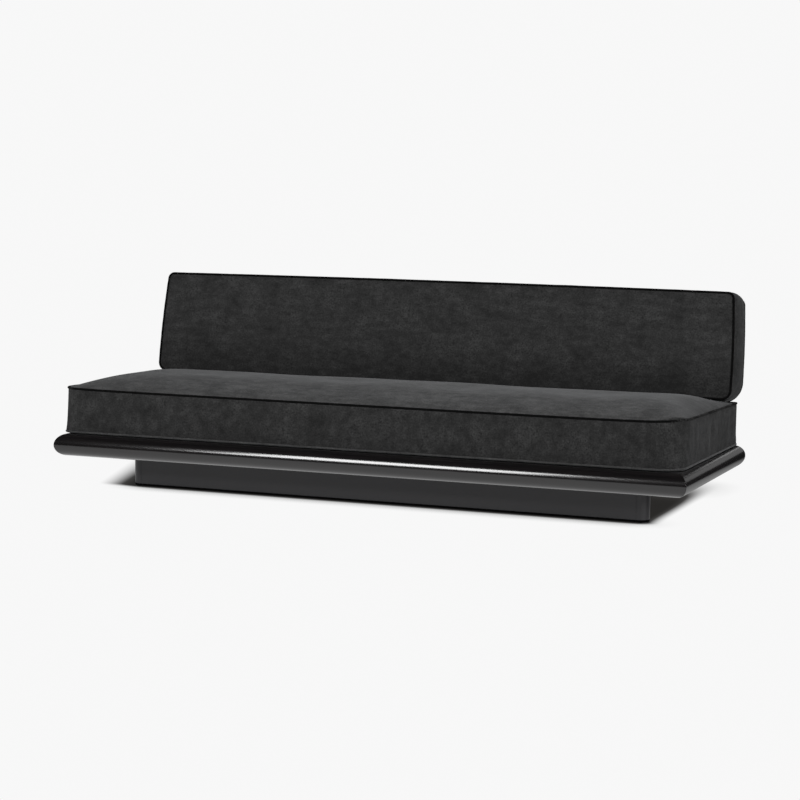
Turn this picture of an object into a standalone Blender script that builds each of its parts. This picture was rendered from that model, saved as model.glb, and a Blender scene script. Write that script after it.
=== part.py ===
# Low platform sofa for three: recessed plinth, bullnose platform, one long seat cushion
# and one long back cushion that slips over three steel uprights.
# Metres, +Z up, +X to the right of a person who faces the sofa, -Y towards that person.
# The origin is on the floor, under the middle of the whole sofa.

import math

import bmesh
import bpy
import numpy as np
from mathutils import Vector

# Clearances
GAP = 0.0003                    # between touching pieces
BORE_CLEARANCE = 0.0004         # round a screw or bolt, on the radius
SOCKET_CLEARANCE = 0.0006       # between an upright and its socket, each side
SLOT_CLEARANCE = 0.003          # between an upright and the slit in the cover

# Platform
PLATFORM_LENGTH = 2.400
PLATFORM_DEPTH = 0.900
PLATFORM_THICKNESS = 0.082      # also the diameter of the bullnose edge
RAIL_WIDTH = 0.120
RAIL_LEDGE = 0.020              # width of the rebate that carries the deck
DECK_THICKNESS = 0.024
BEARER_WIDTH = 0.060
BEARER_COUNT = 4

# Plinth
PLINTH_HEIGHT = 0.129
PLINTH_FRONT_RECESS = 0.247     # from the front of the bullnose
PLINTH_REAR_RECESS = 0.120
PLINTH_END_RECESS = 0.196
PLINTH_REAR_SET_IN = 0.150      # the plinth's rear is this much shorter than its front, each end
PLINTH_CORNER_RADIUS = 0.034
POST_SIZE = 0.040
PANEL_THICKNESS = 0.018
CLEAT_SIZE = 0.030
RIB_FLOOR_GAP = 0.012           # the ribs stop short of the floor
GLIDE_RADIUS = 0.013
GLIDE_HEIGHT = 0.003
GLIDE_BEVEL = 0.001
GLIDE_PIN_RADIUS = 0.0016
GLIDE_PIN_LENGTH = 0.012

# Bolts and screws
BOLT_RADIUS = 0.004
BOLT_HEAD_RADIUS = 0.0065
BOLT_HEAD_HEIGHT = 0.008
BOLT_COVER = 0.012              # wood left above a bolt's tip
SCREW_RADIUS = 0.003
SCREW_HEAD_RADIUS = 0.006
SCREW_HEAD_HEIGHT = 0.0035
SCREW_HEAD_RIM = 0.0009         # straight edge at the top of a countersunk head
DECK_SCREW_COVER = 0.004        # wood left under the tip of a screw in the deck
RAIL_SCREW_COVER = 0.025        # wood left under the tip of a screw in the rail

# Covers
COVER_THICKNESS = 0.0015
COVER_GAP = 0.0006              # between a cover and the foam under it
PIPING_RADIUS = 0.005

# Seat cushion, measured on the middle lines of its piping
SEAT_FRONT_INSET = 0.050        # from the front of the bullnose
SEAT_END_INSET = 0.024
SEAT_REAR_INSET = 0.024
SEAT_BOXING_HEIGHT = 0.162      # at the front edge
SEAT_RAKE = 0.022               # the rear edge is this much lower
SEAT_CROWN = 0.056
SEAT_TOP_CORNER = 0.042
SEAT_BOTTOM_CORNER = 0.028
SEAT_DRAW_IN = 0.003
SEAT_CORNER_LIFT = 0.009        # the front corners of the top seam stand up
SEAT_REAR_LIFT = 0.004          # and the rear ones, less
SEAT_LIFT_POWER = 4             # the higher, the closer the lift stays to the corners
SEAT_EDGE_FALL = 0.085          # how far the crown takes to rise from the front and the ends
SEAT_REAR_FALL = 0.370          # and from the rear, where the back cushion presses
SEAT_REAR_POWER = 1.4           # how much steeper it is close to the rear

# Back cushion, measured the same way
BACK_END_INSET = 0.0445         # from the end of the bullnose
BACK_TAPER = 0.028             # the bottom edge is longer than the top one
BACK_HEIGHT = 0.393
BACK_THICKNESS = 0.184
BACK_LEAN_DEG = 10.0
BACK_CROWN = 0.016
BACK_FRONT_CORNERS = (0.032, 0.028)     # at the bottom and the top of the front seam
BACK_REAR_CORNERS = (0.060, 0.026)
BACK_BOW = 0.004                # the top and the ends are fuller half way along
BACK_EDGE_FALL = 0.080
BACK_OVER_SEAT = 0.100          # its front seam lies this far in front of the seat's rear edge
BACK_SEAT_GAP = 0.0012

# Back support
BAR_WIDTH = 0.060
BAR_THICKNESS = 0.008
BAR_SEAT_GAP = 0.003
BAR_FOOT_LENGTH = 0.175
BAR_REACH = 0.270               # of an upright inside the back cushion
BAR_CRANK_DROP = 0.016          # the crank is this far under the back cushion
BAR_FOOT_BEND = 0.012           # on the bar's middle line
BAR_CRANK_BEND = 0.050
BAR_END_SETBACK = 0.3955        # from the back cushion's end to the middle of the last upright
BAR_COUNT = 3
FOOT_SCREW_SETBACK = 0.050      # the rear screw's distance from the upright
SOCKET_WALL = 0.002
SOCKET_LENGTH = 0.285
SOCKET_FLOOR = 0.012            # the sockets start this far above the cushion's bottom seam
BOARD_THICKNESS = 0.012
BOARD_INSET = 0.014

# Zips
ZIP_END_MARGIN = 0.250          # from the end of the cushion
ZIP_WIDTH = 0.028
ZIP_RIDGE_WIDTH = 0.005
ZIP_RIDGE_HEIGHT = 0.0008
SLIDER_LENGTH = 0.012
SLIDER_WIDTH = 0.009
SLIDER_HEIGHT = 0.0035
PULL_LENGTH = 0.024
PULL_WIDTH = 0.006
PULL_THICKNESS = 0.0014
BACK_ZIP_SETBACK = 0.032        # from the rear seam

# How finely round shapes are divided
RIM_STEPS = 16
TURN_STEPS = 16
LONG_STEPS = 10
SHORT_STEPS = 2                 # on half of a cushion's end
CORNER_STEPS = 4
BOXING_STEPS = 3
SEAT_RINGS = 7                  # rings on the crowned face of each cushion
BACK_RINGS = 5
BEND_STEPS = 6
CONTACT_STEPS = 25              # places tried where the back cushion meets the seat
FACE_SPAN = 0.92                # share of a cushion's half depth that the rings of a face cover
FACE_SPACING = 1.7              # above 1, these rings lie closer together at the edge
CUSHION_SHARP_DEG = 35.0        # edges sharper than this are not shaded smooth
RAIL_SHARP_DEG = 25.0
MERGE_DISTANCE = 0.00005

# How the outlines of a cushion's rings change inwards
SMALLEST_CORNER = 0.004
CORNER_GROWTH = 0.5             # of the corner radius, for each metre further in
CORNER_GROWTH_START = 0.020     # from this inset on
CORNER_LIMIT = 0.95             # a corner takes at most this share of a half side
END_BOW_POWER = 8               # the higher, the closer the bow stays to the ends

# Worked out from the sizes above
PLATFORM_BOTTOM = GLIDE_HEIGHT + PLINTH_HEIGHT + GAP
PLATFORM_TOP = PLATFORM_BOTTOM + PLATFORM_THICKNESS
HALF_LENGTH = PLATFORM_LENGTH / 2
HALF_DEPTH = PLATFORM_DEPTH / 2
PLINTH_HALF = HALF_LENGTH - PLINTH_END_RECESS
PLINTH_FRONT = -HALF_DEPTH + PLINTH_FRONT_RECESS
PLINTH_REAR = HALF_DEPTH - PLINTH_REAR_RECESS
PLINTH_TOP = GLIDE_HEIGHT + PLINTH_HEIGHT
LEAN = math.radians(BACK_LEAN_DEG)

SEAT_FRONT = -HALF_DEPTH + SEAT_FRONT_INSET
SEAT_REAR = HALF_DEPTH - SEAT_REAR_INSET
SEAT_HALF_LENGTH = HALF_LENGTH - SEAT_END_INSET
SEAT_HALF_DEPTH = (SEAT_REAR - SEAT_FRONT) / 2
SEAT_MIDDLE = (SEAT_REAR + SEAT_FRONT) / 2
BACK_LENGTH = PLATFORM_LENGTH - 2 * BACK_END_INSET
SEAT_SEAM_BOTTOM = PLATFORM_TOP + PIPING_RADIUS + GAP
ZIP_CLEAR = COVER_THICKNESS + ZIP_RIDGE_HEIGHT + GAP


def rise(distance, fall):
    """Crown height, 0 to 1, at a distance from an edge."""
    return 1 - np.exp(-np.maximum(distance, 0) / fall)


def seat_seam(x, y):
    """Height of the seat's top seam over its bottom one; x and y from the seat's middle."""
    share = (y + SEAT_HALF_DEPTH) / (2 * SEAT_HALF_DEPTH)
    lift = SEAT_CORNER_LIFT + (SEAT_REAR_LIFT - SEAT_CORNER_LIFT) * share
    corner_share = (x / SEAT_HALF_LENGTH) ** SEAT_LIFT_POWER
    return SEAT_BOXING_HEIGHT - SEAT_RAKE * share + lift * corner_share


def seat_top(x, y):
    """Height of the seat's crowned top face."""
    ends = rise(SEAT_HALF_LENGTH - np.abs(x), SEAT_EDGE_FALL)
    front = rise(y + SEAT_HALF_DEPTH, SEAT_EDGE_FALL)
    from_rear = np.clip((SEAT_HALF_DEPTH - y) / SEAT_REAR_FALL, 0, 1)
    rear = 1 - (1 - from_rear) ** SEAT_REAR_POWER
    return seat_seam(x, y) + SEAT_CROWN * ends * front * rear


def flat_face(x, y):
    return 0 * x


def back_swell(x, y):
    """Crown of the back cushion's two faces; y is 0 at the middle of its height."""
    half_length = BACK_LENGTH / 2
    ends = rise(half_length - np.abs(x), BACK_EDGE_FALL)
    sides = rise(BACK_HEIGHT / 2 - np.abs(y), BACK_EDGE_FALL)
    return BACK_CROWN * ends * sides


def back_front_seam(x, y):
    return 0 * x + BACK_THICKNESS


def back_front(x, y):
    return back_front_seam(x, y) + back_swell(x, y)


def back_rear(x, y):
    return -back_swell(x, y)


# The back cushion's lower front seam lies just over the seat's crown
BACK_FOOT_Y = SEAT_REAR - BACK_OVER_SEAT
OVERLAP_X, OVERLAP_Y = np.meshgrid(
    np.linspace(0, min(BACK_LENGTH / 2, SEAT_HALF_LENGTH), CONTACT_STEPS),
    np.linspace(BACK_FOOT_Y - 2 * PIPING_RADIUS, max(SEAT_REAR, BACK_FOOT_Y), CONTACT_STEPS))
OVERLAP_TOP = SEAT_SEAM_BOTTOM + seat_top(OVERLAP_X, OVERLAP_Y - SEAT_MIDDLE)
OVERLAP_SLOPE = (OVERLAP_Y - BACK_FOOT_Y) * math.tan(LEAN)
OVER_CROWN = float(np.max(OVERLAP_TOP + OVERLAP_SLOPE)) + PIPING_RADIUS / math.cos(LEAN)
# Its bottom boxing also clears the piping along the seat's rear edge
REAR_SEAM_HEIGHT = SEAT_BOXING_HEIGHT - SEAT_RAKE + SEAT_REAR_LIFT
REAR_PIPING_TOP = SEAT_SEAM_BOTTOM + REAR_SEAM_HEIGHT + PIPING_RADIUS
OVER_PIPING = REAR_PIPING_TOP + (SEAT_REAR + PIPING_RADIUS - BACK_FOOT_Y) * math.tan(LEAN)
BACK_FOOT_Z = max(OVER_CROWN, OVER_PIPING) + BACK_SEAT_GAP / math.cos(LEAN)

# The uprights stand just behind the seat, then lean with the back cushion
BAR_Y = SEAT_REAR + PIPING_RADIUS + BAR_SEAT_GAP + BAR_THICKNESS / 2
BAR_UNDER_BACK = BACK_FOOT_Z - (BAR_Y - BACK_FOOT_Y) * math.tan(LEAN)
CRANK_Z = BAR_UNDER_BACK - BAR_CRANK_DROP
FOOT_TOP = PLATFORM_TOP - GAP
FOOT_Z = FOOT_TOP - BAR_THICKNESS / 2
# Depth of the uprights inside the back cushion, from its front seam
BAR_DEPTH = (BAR_Y - BACK_FOOT_Y) * math.cos(LEAN) - (CRANK_Z - BACK_FOOT_Z) * math.sin(LEAN)
BAR_W = BACK_THICKNESS - BAR_DEPTH
SOCKET_INNER = BAR_THICKNESS + 2 * SOCKET_CLEARANCE
SOCKET_OUTER = SOCKET_INNER + 2 * SOCKET_WALL
SOCKET_INNER_WIDTH = BAR_WIDTH + 2 * SOCKET_CLEARANCE
SOCKET_OUTER_WIDTH = SOCKET_INNER_WIDTH + 2 * SOCKET_WALL
BOARD_REAR_W = BAR_W + SOCKET_OUTER / 2 + GAP
BOARD_FRONT_W = BOARD_REAR_W + BOARD_THICKNESS
BAR_OUTER = BACK_LENGTH / 2 - BAR_END_SETBACK
BAR_PLACES = [BAR_OUTER * (2 * i / (BAR_COUNT - 1) - 1) for i in range(BAR_COUNT)]
SIDE_WORDS = ["left", "middle", "right"]

# The whole sofa reaches from the bullnose to the fullest part of the back cushion's rear face
REAR_HEIGHTS = np.linspace(0, BACK_HEIGHT, CONTACT_STEPS)
REAR_SWELL = back_swell(0 * REAR_HEIGHTS, REAR_HEIGHTS - BACK_HEIGHT / 2)
REAR_PLACES = (BACK_THICKNESS + REAR_SWELL) * math.cos(LEAN) + REAR_HEIGHTS * math.sin(LEAN)
BACK_REACH = BACK_FOOT_Y + float(np.max(REAR_PLACES))
ORIGIN_SHIFT = (HALF_DEPTH - BACK_REACH) / 2


def clear_scene():
    for item in list(bpy.data.objects):
        bpy.data.objects.remove(item, do_unlink=True)


def new_collection(name):
    collection = bpy.data.collections.new(name)
    bpy.context.scene.collection.children.link(collection)
    return collection


def make_material(name, colour, roughness, metallic=0.0):
    material = bpy.data.materials.new(name)
    material.use_nodes = True
    shader = material.node_tree.nodes["Principled BSDF"]
    shader.inputs["Base Color"].default_value = (*colour, 1.0)
    shader.inputs["Roughness"].default_value = roughness
    shader.inputs["Metallic"].default_value = metallic
    material.diffuse_color = (*colour, 1.0)
    return material


clear_scene()
PARTS = new_collection("platform_sofa")
CUTTERS = new_collection("sofa_cutters")

EBONISED = make_material("ebonised_wood", (0.012, 0.011, 0.011), 0.22)
PLINTH_BLACK = make_material("plinth_lacquer", (0.035, 0.035, 0.036), 0.55)
PLYWOOD = make_material("birch_plywood", (0.52, 0.38, 0.24), 0.7)
SOFTWOOD = make_material("softwood", (0.60, 0.45, 0.28), 0.75)
VELVET = make_material("charcoal_velvet", (0.030, 0.030, 0.031), 0.95)
PIPING_CLOTH = make_material("piping_velvet", (0.020, 0.020, 0.021), 0.9)
LINING = make_material("black_lining", (0.03, 0.03, 0.03), 0.9)
FOAM = make_material("cushion_foam", (0.82, 0.78, 0.66), 0.95)
STEEL = make_material("black_steel", (0.03, 0.03, 0.03), 0.5, 1.0)
ZINC = make_material("zinc_plate", (0.55, 0.56, 0.57), 0.35, 1.0)
ZIP_TAPE = make_material("zip_tape", (0.02, 0.02, 0.02), 0.8)
FELT = make_material("felt", (0.08, 0.08, 0.08), 1.0)


def make_empty(name, location, tilt=0.0, parent=None):
    empty = bpy.data.objects.new(name, None)
    empty.location = location
    empty.rotation_euler = (tilt, 0, 0)
    empty.parent = parent
    PARTS.objects.link(empty)
    return empty


# Three frames: the whole sofa, the seat cushion and the leaning back cushion.
# In a cushion's frame X runs along it, Y across its face and Z from face to face.
SOFA = make_empty("sofa_frame", (0, ORIGIN_SHIFT, 0))
SEAT = make_empty("seat_frame", (0, SEAT_MIDDLE, SEAT_SEAM_BOTTOM), parent=SOFA)
BACK_ORIGIN_Y = BACK_FOOT_Y + BACK_THICKNESS * math.cos(LEAN)
BACK_ORIGIN_Z = BACK_FOOT_Z - BACK_THICKNESS * math.sin(LEAN)
BACK = make_empty("back_frame", (0, BACK_ORIGIN_Y, BACK_ORIGIN_Z), math.pi / 2 - LEAN, SOFA)
BACK_MIDDLE = BACK_HEIGHT / 2


def finish_object(name, data, material, parent, location=(0, 0, 0), collection=None):
    """Put a mesh or a curve into the scene as a part, or as a cutter."""
    thing = bpy.data.objects.new(name, data)
    thing.location = location
    thing.parent = parent
    (collection or PARTS).objects.link(thing)
    if material:
        data.materials.append(material)
    if collection is CUTTERS:
        thing.hide_render = True
        thing.display_type = "WIRE"
    return thing


def block(name, low, high, material, parent=None, collection=None):
    """A plain box between two corners, with its origin at its middle."""
    low, high = Vector(low), Vector(high)
    work = bmesh.new()
    bmesh.ops.create_cube(work, size=1.0)
    bmesh.ops.scale(work, vec=high - low, verts=work.verts)
    mesh = bpy.data.meshes.new(name)
    work.to_mesh(mesh)
    work.free()
    return finish_object(name, mesh, material, parent or SOFA, (low + high) / 2, collection)


def cylinder_cutter(name, radius, low, high, parent=None):
    """A round cutter that stands between two points above each other."""
    low, high = Vector(low), Vector(high)
    work = bmesh.new()
    depth = (high - low).length
    bmesh.ops.create_cone(
        work, cap_ends=True, segments=TURN_STEPS, radius1=radius, radius2=radius, depth=depth)
    mesh = bpy.data.meshes.new(name)
    work.to_mesh(mesh)
    work.free()
    return finish_object(name, mesh, None, parent or SOFA, (low + high) / 2, CUTTERS)


def cut(thing, cutter):
    modifier = thing.modifiers.new("cut_" + cutter.name, "BOOLEAN")
    modifier.operation = "DIFFERENCE"
    modifier.solver = "EXACT"
    modifier.object = cutter


def weld_on(thing, addition):
    modifier = thing.modifiers.new("join_" + addition.name, "BOOLEAN")
    modifier.operation = "UNION"
    modifier.solver = "EXACT"
    modifier.object = addition


def turned(name, profile, location, material, parent=None, collection=None):
    """A profile of (radius, height) points, listed from top to bottom, turned about Z."""
    mesh = bpy.data.meshes.new(name)
    points = [(radius, 0, height) for radius, height in profile]
    mesh.from_pydata(points, [(i, i + 1) for i in range(len(points) - 1)], [])
    thing = finish_object(name, mesh, material, parent or SOFA, location, collection)
    screw = thing.modifiers.new("turn", "SCREW")
    screw.steps = TURN_STEPS
    screw.render_steps = TURN_STEPS
    screw.use_merge_vertices = True
    screw.merge_threshold = MERGE_DISTANCE
    return thing


def outline_curve(name, loops, thickness):
    """Flat closed outlines, filled and given a thickness; an inner loop is a hole."""
    curve = bpy.data.curves.new(name, "CURVE")
    curve.dimensions = "2D"
    curve.fill_mode = "BOTH"
    curve.extrude = thickness / 2
    for loop in loops:
        spline = curve.splines.new("POLY")
        spline.points.add(len(loop) - 1)
        for point, (x, y) in zip(spline.points, loop):
            point.co = (x, y, 0, 1)
        spline.use_cyclic_u = True
    return curve


def outline_mesh(name, loops, thickness):
    """The same outline as a welded mesh, for a piece that is cut afterwards."""
    curve = outline_curve(name + "_outline", loops, thickness)
    holder = bpy.data.objects.new(name + "_outline", curve)
    CUTTERS.objects.link(holder)
    depsgraph = bpy.context.evaluated_depsgraph_get()
    mesh = bpy.data.meshes.new_from_object(holder.evaluated_get(depsgraph))
    mesh.name = name
    bpy.data.objects.remove(holder, do_unlink=True)
    bpy.data.curves.remove(curve)
    work = bmesh.new()
    work.from_mesh(mesh)
    bmesh.ops.remove_doubles(work, verts=work.verts, dist=MERGE_DISTANCE)
    work.to_mesh(mesh)
    work.free()
    return mesh


def arc(centre, radius, start, end, steps):
    """Points on a circle, from one angle to another, both ends included."""
    angles = np.linspace(start, end, steps + 1)
    return [(centre[0] + radius * math.cos(a), centre[1] + radius * math.sin(a)) for a in angles]


# Cushion surfaces


def ring(half_length, half_depth, corners, draw, taper):
    """Closed outline of a cushion, from the middle of its left end round by its front.

    The corners are arcs, with one radius at the front and one at the rear. Each side is drawn
    in towards its middle by draw, which holds the amounts for the front, the rear and the ends;
    a negative amount bows it out. The front edge is longer than the rear one by taper.
    """
    a, b = half_length, half_depth
    halves = []
    for corner in corners:
        r = min(corner, CORNER_LIMIT * a, CORNER_LIMIT * b)
        left = [(-a, y) for y in np.linspace(0, -b + r, SHORT_STEPS + 1)[:-1]]
        left += arc((-a + r, -b + r), r, math.pi, 1.5 * math.pi, CORNER_STEPS)
        middle = [(x, -b) for x in np.linspace(-a + r, a - r, LONG_STEPS + 1)[1:-1]]
        halves.append(np.array(left + middle + [(-x, y) for x, y in reversed(left)]))
    whole = np.vstack([halves[0], halves[1][-2:0:-1] * [1, -1]])
    x, y = whole[:, 0].copy(), whole[:, 1].copy()
    across = np.clip(1 - (x / a) ** 2, 0, 1)
    along = np.clip(1 - (y / b) ** 2, 0, 1)
    front, rear, ends = draw
    y += np.where(y < 0, front, -rear) * across * np.minimum(np.abs(y) / b, 1)
    x -= np.sign(x) * ends * along * np.clip(np.abs(x) / a, 0, 1) ** END_BOW_POWER
    x *= 1 - taper / (2 * a) * (y / b) / 2
    return np.column_stack([x, y])


def add_rings(work, rings):
    """Vertices of several rings of equal counts, joined by bands. Returns them ring by ring."""
    rows = [[work.verts.new(point) for point in points] for points in rings]
    for lower, upper in zip(rows, rows[1:]):
        bridge(work, lower, upper)
    return rows


def fill_ring(work, row):
    """Close a ring with a strip between its front half and its rear half."""
    count = len(row)
    half = count // 2
    work.faces.new((row[0], row[1], row[count - 1]))
    for i in range(1, half - 1):
        work.faces.new((row[i], row[i + 1], row[count - i - 1]))
        work.faces.new((row[i], row[count - i - 1], row[count - i]))
    work.faces.new((row[half - 1], row[half], row[half + 1]))


def bridge(work, first, second):
    """A band between two rings, all its triangles split the same way so that layers stay apart."""
    count = len(first)
    for i in range(count):
        j = (i + 1) % count
        work.faces.new((first[i], first[j], second[j]))
        work.faces.new((first[i], second[j], second[i]))


def work_to_part(work, name, material, parent):
    bmesh.ops.recalc_face_normals(work, faces=work.faces)
    if work.calc_volume(signed=True) < 0:
        bmesh.ops.reverse_faces(work, faces=work.faces)
    mesh = bpy.data.meshes.new(name)
    work.to_mesh(mesh)
    work.free()
    mesh.shade_smooth()
    mesh.set_sharp_from_angle(angle=math.radians(CUSHION_SHARP_DEG))
    return finish_object(name, mesh, material, parent)


class CushionForm:
    """Sizes of one boxed cushion, and the outlines at any inset and share of its boxing."""

    def __init__(self, half_length, half_depth, seams, faces, corners, draw, taper):
        self.half_length = half_length
        self.half_depth = half_depth
        self.seams = seams          # heights of the lower and the upper seam, from x and y
        self.faces = faces          # heights of the lower and the upper face
        self.corners = corners      # front and rear corner radius, at the lower and the upper seam
        self.draw = draw
        self.taper = taper

    def outline(self, inset, share):
        a, b = self.half_length - inset, self.half_depth - inset
        keep = b / self.half_depth
        draw = [amount * keep for amount in self.draw]
        corners = []
        for lower, upper in zip(*self.corners):
            corner = lower + (upper - lower) * share
            growth = CORNER_GROWTH * max(inset - CORNER_GROWTH_START, 0)
            corners.append(max(corner - inset, SMALLEST_CORNER) + growth)
        return ring(a, b, corners, draw, self.taper * keep)

    def wall(self, inset, share):
        """A ring on the boxing, at a share of the height between the two seams."""
        seam = self.outline(0, share)
        bottom, top = [height(seam[:, 0], seam[:, 1]) for height in self.seams]
        return np.column_stack([self.outline(inset, share), bottom + (top - bottom) * share])

    def face(self, inset, upper, lift):
        """A ring on the upper or the lower face."""
        outline = self.outline(inset, 1.0 if upper else 0.0)
        height = self.faces[1 if upper else 0](outline[:, 0], outline[:, 1])
        return np.column_stack([outline, height + lift])

    def insets(self, first, count):
        """Insets of a face's rings, close together at the edge."""
        last = self.half_depth * FACE_SPAN
        shares = [(i / (count - 1)) ** FACE_SPACING for i in range(count)]
        return [first + (last - first) * share for share in shares]


SEAM_STEP = PIPING_RADIUS + GAP         # a cover starts this far from its seam's middle line
FOAM_STEP = COVER_THICKNESS + COVER_GAP


def face_panel(name, form, upper, ring_count, lift, material, parent):
    """A cover panel over one face: its outer and inner surfaces, closed at the rim."""
    sign = 1 if upper else -1
    insets = form.insets(SEAM_STEP, ring_count)
    work = bmesh.new()
    outer = add_rings(work, [form.face(inset, upper, lift) for inset in insets])
    inner = add_rings(work, [form.face(inset, upper, lift - sign * COVER_THICKNESS) for inset in insets])
    fill_ring(work, outer[-1])
    fill_ring(work, inner[-1])
    bridge(work, outer[0], inner[0])
    return work_to_part(work, name, material, parent)


def boxing_shares(height):
    """Shares of a cushion's height at which its boxing has rings."""
    edge = SEAM_STEP / height
    return np.linspace(edge, 1 - edge, BOXING_STEPS + 1)


def boxing_band(name, form, height, material, parent):
    """The strip round a cushion between its two seams, outside and inside."""
    shares = boxing_shares(height)
    work = bmesh.new()
    outer = add_rings(work, [form.wall(GAP, share) for share in shares])
    inner = add_rings(work, [form.wall(GAP + COVER_THICKNESS, share) for share in shares])
    bridge(work, outer[0], inner[0])
    bridge(work, outer[-1], inner[-1])
    return work_to_part(work, name, material, parent)


def piping(name, form, share, parent):
    """A cord in cloth, sewn into a seam all the way round."""
    curve = bpy.data.curves.new(name, "CURVE")
    curve.dimensions = "3D"
    curve.bevel_depth = PIPING_RADIUS
    curve.bevel_resolution = 1
    points = form.wall(0, share)
    spline = curve.splines.new("POLY")
    spline.points.add(len(points) - 1)
    for point, place in zip(spline.points, points):
        point.co = (*place, 1)
    spline.use_cyclic_u = True
    spline.use_smooth = True
    return finish_object(name, curve, PIPING_CLOTH, parent)


def foam_wall(form, height, low=0.0, high=1.0):
    """Rings on a foam block's side, level with those of the boxing, between two shares."""
    shares = [share for share in boxing_shares(height) if low < share < high]
    if low > 0:
        shares = [low] + shares
    if high < 1:
        shares = shares + [high]
    return [form.wall(GAP + FOAM_STEP, share) for share in shares]


# Plinth


def make_plinth():
    post_inner = PLINTH_HALF - POST_SIZE
    rear_post_inner = post_inner - PLINTH_REAR_SET_IN
    corner = [(0, 0), (0, POST_SIZE), (POST_SIZE, POST_SIZE)]
    round_centre = (POST_SIZE - PLINTH_CORNER_RADIUS, PLINTH_CORNER_RADIUS)
    corner = arc(round_centre, PLINTH_CORNER_RADIUS, 0, -math.pi / 2, BEND_STEPS) + corner
    post_middle = POST_SIZE / 2
    for x_sign, x_word in ((-1, "left"), (1, "right")):
        for y_sign, y_word, y_face, inner in (
                (-1, "front", PLINTH_FRONT, post_inner), (1, "rear", PLINTH_REAR, rear_post_inner)):
            loop = [(x_sign * x, -y_sign * y) for x, y in corner]
            post_name = f"plinth_post_{y_word}_{x_word}"
            mesh = outline_mesh(post_name, [loop], PLINTH_HEIGHT)
            place = (x_sign * inner, y_face, GLIDE_HEIGHT + PLINTH_HEIGHT / 2)
            post = finish_object(post_name, mesh, PLINTH_BLACK, SOFA, place)
            glide_x = x_sign * (inner + post_middle)
            glide_y = y_face - y_sign * post_middle
            add_glide(f"glide_{y_word}_{x_word}", glide_x, glide_y, post)

    low, high = GLIDE_HEIGHT, PLINTH_TOP
    panel_x = post_inner - GAP
    rear_x = rear_post_inner - GAP
    front_in = PLINTH_FRONT + PANEL_THICKNESS
    rear_in = PLINTH_REAR - PANEL_THICKNESS
    block("plinth_front_panel", (-panel_x, PLINTH_FRONT, low), (panel_x, front_in, high), PLINTH_BLACK)
    block("plinth_rear_panel", (-rear_x, rear_in, low), (rear_x, PLINTH_REAR, high), PLINTH_BLACK)

    cleat_low = PLINTH_TOP - CLEAT_SIZE
    front_cleat = front_in + GAP
    rear_cleat = rear_in - GAP
    cleats = {
        "front": block(
            "plinth_cleat_front", (-panel_x, front_cleat, cleat_low),
            (panel_x, front_cleat + CLEAT_SIZE, high), SOFTWOOD),
        "rear": block(
            "plinth_cleat_rear", (-rear_x, rear_cleat - CLEAT_SIZE, cleat_low),
            (rear_x, rear_cleat, high), SOFTWOOD),
    }
    for x_sign, word in ((-1, "left"), (1, "right")):
        outer = x_sign * rear_x
        low_x, high_x = sorted((outer, outer - x_sign * PANEL_THICKNESS))
        panel = block(
            f"plinth_{word}_panel", (low_x, front_in + GAP, low), (high_x, rear_in - GAP, high), PLINTH_BLACK)
        for y_word, y in (("front", front_in), ("rear", rear_in)):
            reach = CLEAT_SIZE + 2 * GAP
            notch = block(
                f"notch_{word}_{y_word}", (low_x - GAP, y - reach, cleat_low - GAP),
                (high_x + GAP, y + reach, high + GAP), PLINTH_BLACK, collection=CUTTERS)
            cut(panel, notch)
        x = x_sign * bearer_places()[-2]
        half = PANEL_THICKNESS / 2
        low_corner = (x - half, front_in + GAP, GLIDE_HEIGHT + RIB_FLOOR_GAP)
        high_corner = (x + half, rear_in - GAP, cleat_low - GAP)
        block(f"plinth_rib_{word}", low_corner, high_corner, PLYWOOD)
    cleat_middles = {"front": front_cleat + CLEAT_SIZE / 2, "rear": rear_cleat - CLEAT_SIZE / 2}
    return cleats, cleat_middles, cleat_low


def add_glide(name, x, y, post):
    """A felt-faced glide under a post, with its nail in a hole."""
    pin_top = GLIDE_HEIGHT + GLIDE_PIN_LENGTH
    seat = GLIDE_HEIGHT - GAP
    profile = [
        (0, pin_top),
        (GLIDE_PIN_RADIUS, pin_top),
        (GLIDE_PIN_RADIUS, seat),
        (GLIDE_RADIUS, seat),
        (GLIDE_RADIUS, GLIDE_BEVEL),
        (GLIDE_RADIUS - GLIDE_BEVEL, 0),
        (0, 0),
    ]
    turned(name, profile, (x, y, 0), FELT)
    hole = cylinder_cutter(
        "hole_" + name, GLIDE_PIN_RADIUS + BORE_CLEARANCE, (x, y, -GLIDE_HEIGHT), (x, y, pin_top + GAP))
    cut(post, hole)


# Platform


def bearer_places():
    """Middles of the cross bearers; the outer ones stand inside the plinth's rear posts."""
    outer = PLINTH_HALF - PLINTH_REAR_SET_IN - POST_SIZE - BEARER_WIDTH / 2 - GAP
    return [outer * (2 * i / (BEARER_COUNT - 1) - 1) for i in range(BEARER_COUNT)]


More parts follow.
